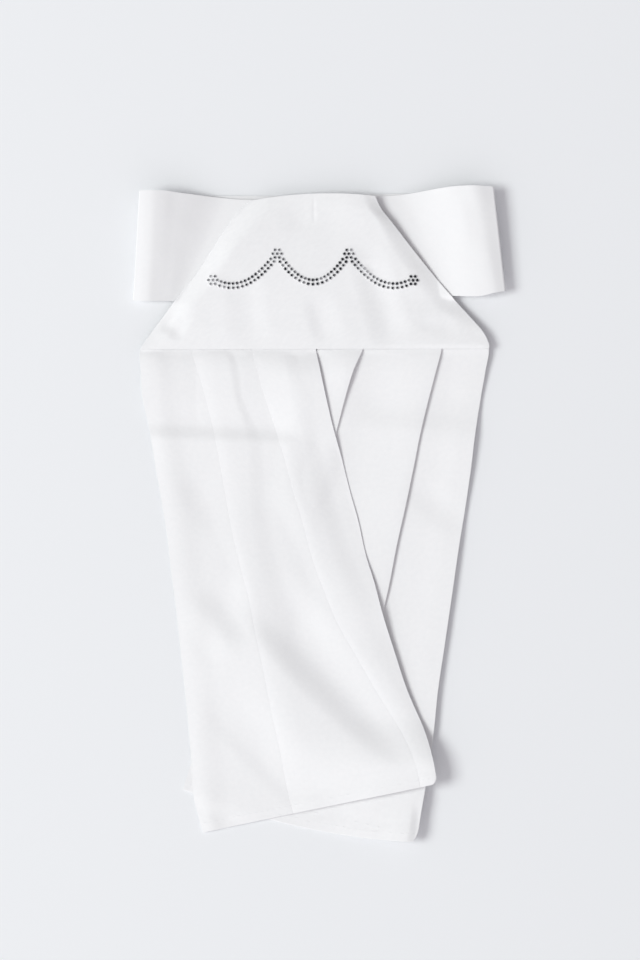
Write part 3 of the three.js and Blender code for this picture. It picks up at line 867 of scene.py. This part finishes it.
leftGrid, leftAcross, leftAlong, leftThickness = tailGrid(
    leftTailRows, leftTailStand, leftTailLift, leftTail["press"])
roundCorner(leftGrid, leftTailRows, leftTail["cornerRound"])
leftPiece = clothMesh("left_tail_cloth", leftGrid, leftThickness, leftAcross, leftAlong)
print("stage: tails made", leftGrid.shape, rightGrid.shape)


# Neck band: the loop as it lies, walked from its inner end at the back, round the left turn,
# along the front and round the right turn to its outer end. Heights are of the middle of the cloth.
# A value under turn marks the first place after a turn, and says how far the turn bulges sideways.

band = {
    "thickness": 0.6,
    "width": 57,
    "foldShare": 0.55,
    "foldReach": 9,
    "rows": 48,
    "spacing": 1.2,
    "lapHalf": 11,
    "lapRamp": 8,
    "turnSteps": 14,
    "besideTurn": 0.06,
    "frontFrom": 1.5,
    "frontTo": 2.6,
    "wavyFrom": 30,
    "wavyTo": 44,
    "hills": [(0.2, 24, 12), (0.08, 9, 13)],
}
lapHalf = band["lapHalf"]
lapEnd = lapHalf + band["lapRamp"]
bandPlaces = tableOf("xLow yLow zLow xHigh yHigh zHigh turn", [
    (lapHalf, 114.5, 3.2, lapHalf, 169.3, 3.2, 0),
    (-lapHalf, 114.5, 3.2, -lapHalf, 169.1, 3.2, 0),
    (-lapEnd, 114.5, 0.6, -lapEnd, 169.0, 0.6, 0),
    (-60, 114.0, 0.6, -56, 169.0, 0.7, 0),
    (-88, 113.4, 2.0, -82, 171.0, 4.2, 0),
    (-97.8, 113.4, 4.3, -94.2, 171.2, 9.5, 0),
    (-97.8, 113.4, 4.7, -94.2, 171.2, 9.9, -0.25),
    (-93.5, 113.2, 5.3, -91.5, 171.5, 10.2, 0),
    (-90.5, 113.2, 5.4, -88, 171.5, 10.3, 0),
    (-86.5, 113.2, 4.8, -83, 171.4, 9.7, 0),
    (-80, 113.2, 3.7, -74, 170.4, 7.4, 0),
    (-74, 113.2, 2.8, -47.5, 167.5, 2.0, 0),
    (-66, 113.3, 3.0, -40, 167.0, 2.0, 0),
    (-lapEnd, 113.6, 2.4, -lapEnd, 167.0, 1.8, 0),
    (-lapHalf, 113.8, 4.1, -lapHalf, 167.2, 3.9, 0),
    (lapHalf, 114.5, 4.1, lapHalf, 167.6, 3.9, 0),
    (lapEnd, 114.8, 2.4, lapEnd, 167.8, 2.0, 0),
    (62, 115.8, 2.8, 36, 168.8, 1.7, 0),
    (68, 115.9, 3.5, 43, 169.4, 1.9, 0),
    (84, 115.6, 6.2, 76, 174.0, 8.5, 0),
    (93.5, 117.4, 7.0, 82, 174.1, 9.2, 0),
    (97.8, 118.2, 6.4, 91.4, 173.6, 7.7, 0),
    (97.8, 118.4, 5.1, 91.4, 173.0, 6.7, 1.0),
    (84, 117.4, 2.0, 78, 171.4, 2.4, 0),
    (60, 116.5, 0.6, 56, 170.5, 0.6, 0),
    (-lapHalf, 114.5, 0.6, -lapHalf, 169.3, 0.6, 0),
])
bandStrokes = [
    stroke((34, 167), (46, 165), 2.5, 4, 0.35),
    stroke((78, 168), (84, 140), 8, 10, 0.3),
]


def bandGrid():
    lowEdge, highEdge = (np.array([[place[axis + end] for axis in "xyz"] for place in bandPlaces], float)
                         for end in ("Low", "High"))
    middles = (lowEdge + highEdge)[:, 0] / 2
    turns = [index for index, place in enumerate(bandPlaces) if place["turn"]]
    rows = []
    for share in np.linspace(0, 1, band["rows"]):
        places = mix(lowEdge, highEdge, share)
        line = []
        begin = 0
        for stop in [*turns, None]:
            part = places[begin:stop]
            reach = walked(part[:, :1])
            count = int(np.abs(np.diff(middles[begin:stop])).sum() / band["spacing"])
            beside = band["besideTurn"]
            at = np.sort(np.append(np.linspace(0, reach[-1], count), [beside, reach[-1] - beside]))
            line.append(np.stack([through(at, reach, part[:, axis]) for axis in range(3)], 1))
            if stop is None:
                break
            turn = np.arange(1, band["turnSteps"])[:, None] / band["turnSteps"]
            arc = mix(places[stop - 1], places[stop], turn)
            arc[:, 0] += bandPlaces[stop]["turn"] * np.sin(np.pi * turn[:, 0])
            arc[:, 2] = mix(places[stop - 1, 2], places[stop, 2], (1 - np.cos(np.pi * turn[:, 0])) / 2)
            line.append(arc)
            begin = stop
        rows.append(np.concatenate(line))
    grid = np.array(rows)
    front = ease(grid[..., 2], band["frontFrom"], band["frontTo"])
    x, y = grid[..., 0], grid[..., 1]
    outside = ease(np.abs(x), band["wavyFrom"], band["wavyTo"])
    grid[..., 2] += front * outside * (hills(x, y, band["hills"]) - strokeDepth(bandStrokes, x, y))
    return grid


bandPoints = bandGrid()
bandLength = walked(bandPoints[band["rows"] // 2])
bandAlong = np.linspace(0, band["width"], band["rows"])[:, None]
leftFold = bandPoints[..., 0].min(axis=1, keepdims=True)
fromLeftFold = ease(bandPoints[..., 0] - leftFold, 0, band["foldReach"])
bandThickness = band["thickness"] * mix(band["foldShare"], 1.0, fromLeftFold)
bandPiece = clothMesh("neck_band_cloth", bandPoints, bandThickness, bandLength[None], bandAlong)
print("stage: neck band made", bandPoints.shape, "length mm", round(float(bandLength[-1]), 1))

underYoke = Underlay(bandPoints, band["thickness"] / 2, spread=1, blur=1)


# Yoke: the front panel, from the seam up, its slanting sides folded under. The edges, the crowns
# inside them and the middle each have a height; the reaches say how far in the crowns stand.

yoke = {
    "thickness": 0.3,
    "fold": 11.0,
    "foldGap": 0.36,
    "clear": 0.2,
    "rowSpacing": 0.9,
    "columns": 170,
    "underSteps": 12,
    "turnSteps": 6,
    "besideTurn": 0.06,
    "longestReach": 0.3,
    "hills": [(0.1, 22, 21), (0.05, 9, 22)],
    "hillsEnds": (4, 14),
    "dentsRun": 6,
}
yokeRows = tableOf("outerX outerY innerX innerY leftEdge leftCrown middle rightCrown rightEdge "
                   "leftReach rightReach bow", [
    (-94.6, 87.5, 90.4, 87.9, 4.1, 4.3, 4.3, 4.5, 4.9, 12, 6, 0.0),
    (-93.0, 90.0, 90.4, 90.6, 4.0, 4.6, 4.5, 4.9, 4.7, 12, 7, 0.0),
    (-88.1, 97.0, 87.2, 97.0, 3.2, 5.2, 5.0, 4.7, 4.6, 12, 10, 0.0),
    (-82.0, 105.2, 80.0, 105.2, 3.1, 5.7, 5.4, 4.7, 3.8, 12, 12, 0.0),
    (-76.1, 113.2, 72.8, 113.2, 3.7, 6.2, 5.8, 4.8, 3.3, 13, 15, 0.0),
    (-65.5, 126.4, 61.4, 126.4, 3.7, 6.6, 6.3, 6.2, 4.4, 13, 13, 0.2),
    (-56.0, 141.0, 49.6, 141.0, 3.5, 6.8, 6.4, 6.6, 5.0, 13, 12, 0.6),
    (-47.0, 154.6, 39.1, 154.6, 3.2, 6.1, 6.2, 7.2, 5.6, 17, 8, 1.2),
    (-41.0, 161.8, 33.4, 161.8, 2.9, 5.4, 6.0, 7.3, 5.5, 15, 8, 1.8),
    (-36.3, 166.2, 30.2, 168.6, 2.8, 4.6, 5.8, 6.9, 5.9, 12, 7, 2.5),
])
yokeStrokes = [
    stroke((-87, 101), (-73, 93.5), 6, 16, 0.9),
    stroke((19, 140), (34, 88), 12, 12, 0.9),
    stroke((52, 98), (72, 96), 6, 8, 0.3),
    stroke((18, 132), (30, 129), 2, 4, 0.25),
    stroke((-6, 114), (0, 91), 8, 12, 0.55),
    stroke((-46, 126), (-42, 90), 14, 11, 0.5),
    stroke((-20, 162), (-12, 148), 12, 12, 0.3),
    stroke((-3.2, 168), (-3.0, 155), 1.2, 1.6, 0.12, fade=0.1),
]


def yokeTop(x, y, across, width, row):
    # height of the middle of the front cloth across one cut
    longest = width * yoke["longestReach"]
    knots = [0, min(row["leftReach"], longest), width / 2, width - min(row["rightReach"], longest), width]
    heights = [row[name] for name in ("leftEdge", "leftCrown", "middle", "rightCrown", "rightEdge")]
    inside = np.minimum(across, width - across)
    wave = hills(x, y, yoke["hills"]) * ease(inside, *yoke["hillsEnds"])
    dents = strokeDepth(yokeStrokes, x, y) * ease(inside, 0, yoke["dentsRun"])
    return through(across, knots, heights) + wave - dents


def yokeGrid():
    table = smoothTable(yokeRows, yoke["rowSpacing"])
    half = yoke["thickness"] / 2
    turn = yoke["foldGap"] / 2
    points, flat = [], []
    for index in range(len(table["along"])):
        row = rowAt(table, index)
        width = row["innerX"] - row["outerX"]

        def place(across):
            share = across / width
            x = mix(row["outerX"], row["innerX"], share)
            y = mix(row["outerY"], row["innerY"], share) + row["bow"] * 4 * share * (1 - share)
            return x, y

        def front(across):
            x, y = place(across)
            support = underYoke.at(x, y) + half + yoke["clear"] + yoke["foldGap"]
            return np.maximum(yokeTop(x, y, across, width, row), support)

        def under(across):
            x, y = place(across)
            return np.maximum(front(across) - yoke["foldGap"], underYoke.at(x, y) + half + yoke["clear"])

        leftTurn = turn + half
        rightTurn = width - turn - half
        beside = [leftTurn + yoke["besideTurn"], rightTurn - yoke["besideTurn"]]
        frontAcross = np.sort(np.append(np.linspace(leftTurn, rightTurn, yoke["columns"]), beside))
        leftUnder = np.linspace(yoke["fold"], leftTurn, yoke["underSteps"])
        rightUnder = np.linspace(rightTurn, width - yoke["fold"], yoke["underSteps"])
        frontHeight = front(frontAcross)
        leftHeight = under(leftUnder)
        rightHeight = under(rightUnder)
        leftArc = halfTurn(leftTurn, leftHeight[-1], frontHeight[0], -turn, yoke["turnSteps"])
        rightArc = halfTurn(rightTurn, frontHeight[-1], rightHeight[0], turn, yoke["turnSteps"])
        across = np.concatenate([leftUnder, leftArc[0], frontAcross, rightArc[0], rightUnder])
        height = np.concatenate([leftHeight, leftArc[1], frontHeight, rightArc[1], rightHeight])
        x, y = place(across)
        points.append(np.stack([x, y, height], 1))
        flat.append(walked(np.stack([across, height], 1)))
    return np.array(points), np.array(flat), table["along"][:, None]


yokePoints, yokeAcross, yokeAlong = yokeGrid()
yokePiece = clothMesh("yoke_cloth", yokePoints, yoke["thickness"], yokeAcross, yokeAlong)
print("stage: yoke made", yokePoints.shape)


# Stones: three swags in double rows with rosettes, set on the yoke's own surface by Geometry Nodes.
# Each ring of a stone has its share of the radius, its height and its turn in facets.

garland = {
    "pitch": 2.3,
    "stoneRadius": 1.0,
    "rings": [(0.96, 0.0, 0.5), (1.0, 0.1, 0.5), (0.97, 0.2, 0.5), (0.7, 0.5, 0.0), (0.42, 0.75, 0.5)],
    "facets": 8,
    # painted reflection values for each kind of face of a stone, low for a dark reflection and high for a
    # pale glint
    "backReflection": 0.5,
    "girdleReflection": 0.6,
    "tableReflection": 0.02,
    "brightReflection": 1.0,
    "dimReflectionShare": 0.5,
    "trim": 4.3,
    "rosettes": [(-56, 124), (-22, 138), (16, 138), (50, 124)],
    "dips": [8.5, 15.0, 8.5],
    "petals": 6,
    "outerReflections": (1.0, 0.35, 0.9, 0.6, 1.0, 0.2, 0.8, 0.5),
    "innerReflections": (0.1, 0.4, 0.05, 0.2, 0.55, 0.1, 0.3, 0.0),
    "steps": 400,
    "seed": 5,
    "tilt": 0.07,
    "lift": 0.02,
    "facesUp": 0.3,
    "outOfReach": 100,
    "nearest": 6,
    "blend": 0.05,
}


def swagPoints(start, end, dip, offset):
    # stones at even distances along a shallow parabola, set off to one side of it
    t = np.linspace(0, 1, garland["steps"])
    control = np.array([(start[0] + end[0]) / 2, (start[1] + end[1]) / 2 - 2 * dip])
    line = ((1 - t) ** 2)[:, None] * np.array(start) + (2 * t * (1 - t))[:, None] * control \
        + (t ** 2)[:, None] * np.array(end)
    length = walked(line)
    count = int(round((length[-1] - 2 * garland["trim"]) / garland["pitch"])) + 1
    places = np.linspace(garland["trim"], length[-1] - garland["trim"], count)
    x = np.interp(places, length, line[:, 0])
    y = np.interp(places, length, line[:, 1])
    tangentX = np.interp(places, length, np.gradient(line[:, 0], length))
    tangentY = np.interp(places, length, np.gradient(line[:, 1], length))
    return np.stack([x - tangentY * offset, y + tangentX * offset], 1)


def garlandPoints():
    points = []
    for index, dip in enumerate(garland["dips"]):
        for side in (-0.5, 0.5):
            points.append(swagPoints(garland["rosettes"][index], garland["rosettes"][index + 1],
                                     dip, side * garland["pitch"]))
    for centre in garland["rosettes"]:
        angles = np.linspace(0, 2 * np.pi, garland["petals"], endpoint=False)
        ring = np.stack([np.cos(angles), np.sin(angles)], 1) * garland["pitch"] + np.array(centre)
        points.append(np.concatenate([[centre], ring]))
    return np.concatenate(points)


def cutStone(name):
    # crown of a cut stone with a table, eight main facets, a thin girdle and a flat back; each face holds
    # a painted reflection value for its colour, dark at the table
    facets = garland["facets"]
    radius = garland["stoneRadius"] * mm
    verts = []
    for share, height, turn in garland["rings"]:
        for i in range(facets):
            angle = 2 * math.pi * (i + turn) / facets
            reach = radius * share
            verts.append((reach * math.cos(angle), reach * math.sin(angle), height * mm))
    faces = [tuple(reversed(range(facets)))]
    reflections = [garland["backReflection"]]
    for low in (0, facets):
        faces += ringFaces(low, facets)
        reflections += [garland["girdleReflection"]] * facets
    low, mid, top = 2 * facets, 3 * facets, 4 * facets
    for i in range(facets):
        j = (i + 1) % facets
        faces += [(low + i, low + j, mid + j), (mid + i, low + i, mid + j)]
        faces += [(mid + i, mid + j, top + i), (mid + j, top + j, top + i)]
        outer, inner = garland["outerReflections"][i], garland["innerReflections"][i]
        reflections += [outer, garland["brightReflection"], inner, inner * garland["dimReflectionShare"]]
    faces.append(tuple(top + i for i in range(facets)))
    reflections.append(garland["tableReflection"])
    mesh = newMesh(name, verts, faces)
    mesh.attributes.new("paintedFacetReflection", "FLOAT", "FACE").data.foreach_set("value", reflections)
    return newObject(name, mesh)


def surfaceUnder(grid, thickness, x, y):
    # the top of a cloth straight below a point, and the way it faces, from the nearest grid points
    flat = grid.reshape(-1, 3)
    facing = gridNormals(grid).reshape(-1, 3)
    heights, ways = [], []
    for px, py in zip(x, y):
        hidden = np.where(facing[:, 2] > garland["facesUp"], 0, garland["outOfReach"])
        distance = np.hypot(flat[:, 0] - px, flat[:, 1] - py) + hidden
        near = np.argsort(distance)[:garland["nearest"]]
        weight = 1 / (distance[near] + garland["blend"])
        weight /= weight.sum()
        heights.append(float((flat[near, 2] * weight).sum()) + thickness / 2)
        way = (facing[near] * weight[:, None]).sum(0)
        ways.append(way / np.linalg.norm(way))
    return np.array(heights), np.array(ways)


def setInput(modifier, label, value):
    for item in modifier.node_group.interface.items_tree:
        if item.item_type == "SOCKET" and item.in_out == "INPUT" and item.name == label:
            modifier[item.identifier] = value


def setOnPointsTree(name):
    # a tree that sets one small shape on every point, facing as the point's attributes say, with a random
    # tilt and turn, and gives each copy a random value of its own, stored as a painted glint that the
    # stones' material reads
    tree = bpy.data.node_groups.new(name, "GeometryNodeTree")
    tree.interface.new_socket("Geometry", in_out="INPUT", socket_type="NodeSocketGeometry")
    for label, kind in (("Shape", "Object"), ("Size", "Float"), ("Tilt", "Float"), ("Turn", "Float"),
                        ("Seed", "Int"), ("Finish", "Material")):
        tree.interface.new_socket(label, in_out="INPUT", socket_type="NodeSocket" + kind)
    tree.interface.new_socket("Geometry", in_out="OUTPUT", socket_type="NodeSocketGeometry")

    def add(kind, inputs, settings=(), output=None):
        made = makeNode(tree, kind, inputs, settings)
        return made.outputs[output] if output else next(one for one in made.outputs if one.enabled)

    given = tree.nodes.new("NodeGroupInput").outputs
    vector = {"data_type": "FLOAT_VECTOR"}
    facing = add("GeometryNodeInputNamedAttribute", {"Name": "facing"}, vector)
    run = add("GeometryNodeInputNamedAttribute", {"Name": "run"}, vector)
    upright = add("FunctionNodeAlignRotationToVector", {"Vector": facing}, {"axis": "Z"})
    lined = add("FunctionNodeAlignRotationToVector", {"Rotation": upright, "Vector": run},
                {"axis": "X", "pivot_axis": "Z"})
    back = add("ShaderNodeMath", {0: given["Tilt"], 1: -1.0}, {"operation": "MULTIPLY"})
    low = add("ShaderNodeCombineXYZ", {"X": back, "Y": back})
    high = add("ShaderNodeCombineXYZ", {"X": given["Tilt"], "Y": given["Tilt"], "Z": given["Turn"]})
    wobble = add("FunctionNodeRandomValue", {"Min": low, "Max": high, "Seed": given["Seed"]}, vector)
    spun = add("FunctionNodeRotateRotation", {"Rotation": lined, "Rotate By": wobble},
               {"rotation_space": "LOCAL"})
    shape = add("GeometryNodeObjectInfo", {"Object": given["Shape"]}, output="Geometry")
    placed = add("GeometryNodeInstanceOnPoints", {"Points": given["Geometry"], "Instance": shape,
                                                  "Rotation": spun, "Scale": given["Size"]})
    # a random painted glint for each copy
    chance = add("FunctionNodeRandomValue", {"Seed": given["Seed"]}, {"data_type": "FLOAT"})
    shaded = add("GeometryNodeStoreNamedAttribute",
                 {"Geometry": placed, "Name": "stoneShade", "Value": chance},
                 {"data_type": "FLOAT", "domain": "INSTANCE"})
    real = add("GeometryNodeRealizeInstances", {"Geometry": shaded})
    finish = add("GeometryNodeSetMaterial", {"Geometry": real, "Material": given["Finish"]})
    tree.links.new(finish, tree.nodes.new("NodeGroupOutput").inputs["Geometry"])
    return tree


def pointCarrier(name, points, facings, runs):
    mesh = newMesh(name, (points * mm).tolist())
    for label, ways in (("facing", facings), ("run", runs)):
        attribute = mesh.attributes.new(label, "FLOAT_VECTOR", "POINT")
        attribute.data.foreach_set("vector", np.asarray(ways, np.float32).ravel())
    return newObject(name, mesh)


def setOnPoints(name, carrier, shape, tilt, turn, finish):
    # copies of a small shape on a carrier's points, as one plain mesh; the carrier and the shape go
    modifier = carrier.modifiers.new("copies", "NODES")
    modifier.node_group = onPoints
    for label, value in (("Shape", shape), ("Size", 1.0), ("Tilt", tilt), ("Turn", turn),
                         ("Seed", garland["seed"]), ("Finish", finish)):
        setInput(modifier, label, value)
    graph = bpy.context.evaluated_depsgraph_get()
    mesh = bpy.data.meshes.new_from_object(carrier.evaluated_get(graph))
    mesh.name = name
    bpy.data.objects.remove(carrier)
    bpy.data.objects.remove(shape)
    return newObject(name, mesh)


onPoints = setOnPointsTree("setOnPoints")
stoneSpots = garlandPoints()
stoneX, stoneY = stoneSpots.T
stoneHeights, stoneWays = surfaceUnder(yokePoints, yoke["thickness"], stoneX, stoneY)
stonePlaces = np.column_stack([stoneX + shiftX, stoneY + shiftY, stoneHeights + garland["lift"]])
levelRuns = np.tile((1.0, 0.0, 0.0), (len(stoneWays), 1))
carrier = pointCarrier("stone_points", stonePlaces, stoneWays, levelRuns)
stonesPiece = setOnPoints("stone_field", carrier, cutStone("stone_pattern"), garland["tilt"], math.pi,
                          stoneMaterial(stoneLook))
print("stage: stones made", len(stoneSpots), "stones,", len(stonesPiece.data.polygons), "faces")


# Hem stitches: short arched lengths of thread beside each tail's hem

thread = {
    "radius": 0.11,
    "length": 2.2,
    "sides": 6,
    "stations": (-1.0, -0.8, -0.3, 0.3, 0.8, 1.0),
    "taper": 0.35,
    "arch": 0.1,
    "sink": 1.3,
    "pitch": 3.1,
    "fromHem": 4.4,
    "margin": 2.0,
    "outerPoints": 20,
    "searchReach": 0.8,
    "tilt": 0.02,
}


def hemStitchSpots(grid, thickness, along):
    # places for stitches at even distances beside the hem, on the highest cloth there, the way that
    # the cloth faces at each, and the way that the hem runs
    fromHem = along[-1, 0] - along[:, 0]
    row = int(np.argmin(np.abs(fromHem - thread["fromHem"])))
    line = grid[row]
    top = line[:, 2] + thickness[row] / 2
    begin = line[:thread["outerPoints"]]
    outer = begin[np.argmin(begin[:, 0] * np.sign(line[-1, 0] - line[0, 0]))]
    way = (line[-1] - outer)[:2]
    width = np.linalg.norm(way)
    way /= width
    reach = (line[:, :2] - outer[:2]) @ way
    spots, facings, runs = [], [], []
    for place in np.arange(thread["margin"], width - thread["margin"], thread["pitch"]):
        bests = [int(np.argmax(np.where(np.abs(reach - place - side) < thread["searchReach"], top, -1.0)))
                 for side in (-1.0, 0.0, 1.0)]
        x, y = line[bests[2], :2] + way * (place - reach[bests[2]])
        slope = (top[bests[2]] - top[bests[0]]) / 2
        spots.append((x, y, top[bests[1]]))
        run = np.array([way[0], way[1], slope])
        facing = np.cross(run, (-way[1], way[0], 0.0))
        runs.append(run / np.linalg.norm(run))
        facings.append(facing / np.linalg.norm(facing))
    return np.array(spots), np.array(facings), np.array(runs)


def threadStitch(name):
    # one stitch lying along X, its ends sunk into the cloth
    sides = thread["sides"]
    reach = thread["length"] / 2
    verts = []
    for share in thread["stations"]:
        radius = thread["radius"] * (1 - thread["taper"] * share * share)
        rise = thread["radius"] * (thread["arch"] - thread["sink"] * share ** 4)
        for side in range(sides):
            angle = 2 * math.pi * side / sides
            verts.append((share * reach * mm, radius * math.cos(angle) * mm,
                          (rise + radius * math.sin(angle)) * mm))
    rings = len(verts) // sides
    faces = [tuple(reversed(range(sides))), tuple(range((rings - 1) * sides, rings * sides))]
    for ring in range(rings - 1):
        faces += ringFaces(ring * sides, sides)
    mesh = newMesh(name, verts, faces)
    mesh.polygons.foreach_set("use_smooth", np.ones(len(faces), bool))
    mesh.validate()
    return newObject(name, mesh)


whiteThread = shadedMaterial("whiteThread", threadLook)
stitchPieces = []
for name, grid, thickness, along in (("left_hem_stitches", leftGrid, leftThickness, leftAlong),
                                     ("right_hem_stitches", rightGrid, rightThickness, rightAlong)):
    spots, facings, runs = hemStitchSpots(grid, thickness, along)
    carrier = pointCarrier(name + "_points", spots + np.array([shiftX, shiftY, 0.0]), facings, runs)
    shape = threadStitch(name + "_pattern")
    stitchPieces.append(setOnPoints(name, carrier, shape, thread["tilt"], 0.0, whiteThread))
    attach(stitchPieces[-1], "root")
print("stage: stitches made", [len(piece.data.polygons) for piece in stitchPieces])


# What each piece is, what it rides on and which solid it stands for

for piece, cloth, node, slotName in (
    (rightPiece, tailCloth, "right_tail", "tail_cloth"),
    (leftPiece, tailCloth, "left_tail", "tail_cloth"),
    (bandPiece, bandCloth, "neck_band", "band_cloth"),
    (yokePiece, yokeCloth, "yoke", "yoke_cloth"),
):
    piece.data.materials.append(cloth)
    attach(piece, "root")
    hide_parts(node)
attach(stonesPiece, "root")
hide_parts("crystals")

# Stage, light and camera. The photo looks straight down.

photo = {
    "pixel": 0.53,
    "centreX": 318.5,
    "centreY": 514.5,
    "width": 640,
    "height": 960,
    "cameraHeight": 2000,
    "sharpHeight": 4,
}


ground = {
    "reach": 6.0,
    "constants": {"Roughness": 0.9, "Specular IOR Level": 0.2},
    "texture": "ShaderNodeTexNoise",
    "textureInputs": {"Scale": 3.0},
    "deepColour": (0.878, 0.886, 0.908, 1),
    "paleColour": (0.888, 0.896, 0.916, 1),
}


def makeStage():
    reach = ground["reach"]
    corners = [(-reach, -reach, 0), (reach, -reach, 0), (reach, reach, 0), (-reach, reach, 0)]
    mesh = newMesh("stage_floor", corners, [(0, 1, 2, 3)])
    mesh.materials.append(shadedMaterial("paleGround", ground))
    newObject("stage_floor", mesh)


def makeLights():
    rise = math.radians(light["elevation"])
    towards = Vector((light["towardsX"] * math.cos(rise), light["towardsY"] * math.cos(rise),
                      math.sin(rise)))
    lamp = bpy.data.lights.new("key", "AREA")
    lamp.shape = "RECTANGLE"
    lamp.size = light["width"]
    lamp.size_y = light["height"]
    lamp.energy = light["power"]
    lamp.color = light["keyColour"]
    holder = newObject("key", lamp)
    holder.location = towards * light["distance"]
    holder.rotation_mode = "QUATERNION"
    holder.rotation_quaternion = towards.to_track_quat("Z", "Y")
    world = bpy.data.worlds.new("softRoom")
    world.use_nodes = True
    sky = world.node_tree.nodes["Background"]
    sky.inputs["Color"].default_value = (*light["roomColour"], 1)
    start = ShaderValue(world.node_tree)
    wayX, wayY = start.node("ShaderNodeTexCoord").parts()
    side = wayX * light["roomTowardsX"] + wayY * light["roomTowardsY"]
    strength = (side * light["roomSide"] + 1) * light["room"]
    world.node_tree.links.new(strength.socket, sky.inputs["Strength"])
    bpy.context.scene.world = world


def makeCamera():
    lens = bpy.data.cameras.new("photoCamera")
    spread = photo["height"] * photo["pixel"]
    lens.lens = lens.sensor_width * (photo["cameraHeight"] - photo["sharpHeight"]) / spread
    camera = newObject("photoCamera", lens)
    x = (photo["width"] / 2 - photo["centreX"]) * photo["pixel"] + shiftX
    y = (photo["centreY"] - photo["height"] / 2) * photo["pixel"] + shiftY
    camera.location = (x * mm, y * mm, photo["cameraHeight"] * mm)
    bpy.context.scene.camera = camera


makeStage()
makeLights()
makeCamera()
bpy.context.scene.view_settings.view_transform = "Standard"
print("stage: lights and camera set")

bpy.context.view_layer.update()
for piece, across, along in ((rightPiece, rightAcross, rightAlong), (leftPiece, leftAcross, leftAlong),
                             (bandPiece, bandLength, bandAlong), (yokePiece, yokeAcross, yokeAlong)):
    triangles = sum(len(face.vertices) - 2 for face in piece.data.polygons)
    print("flat size mm:", piece.name, round(float(across.max()), 1), "by", round(float(along.max()), 1),
          "area", round(flatArea(piece), 4), "triangles", triangles)
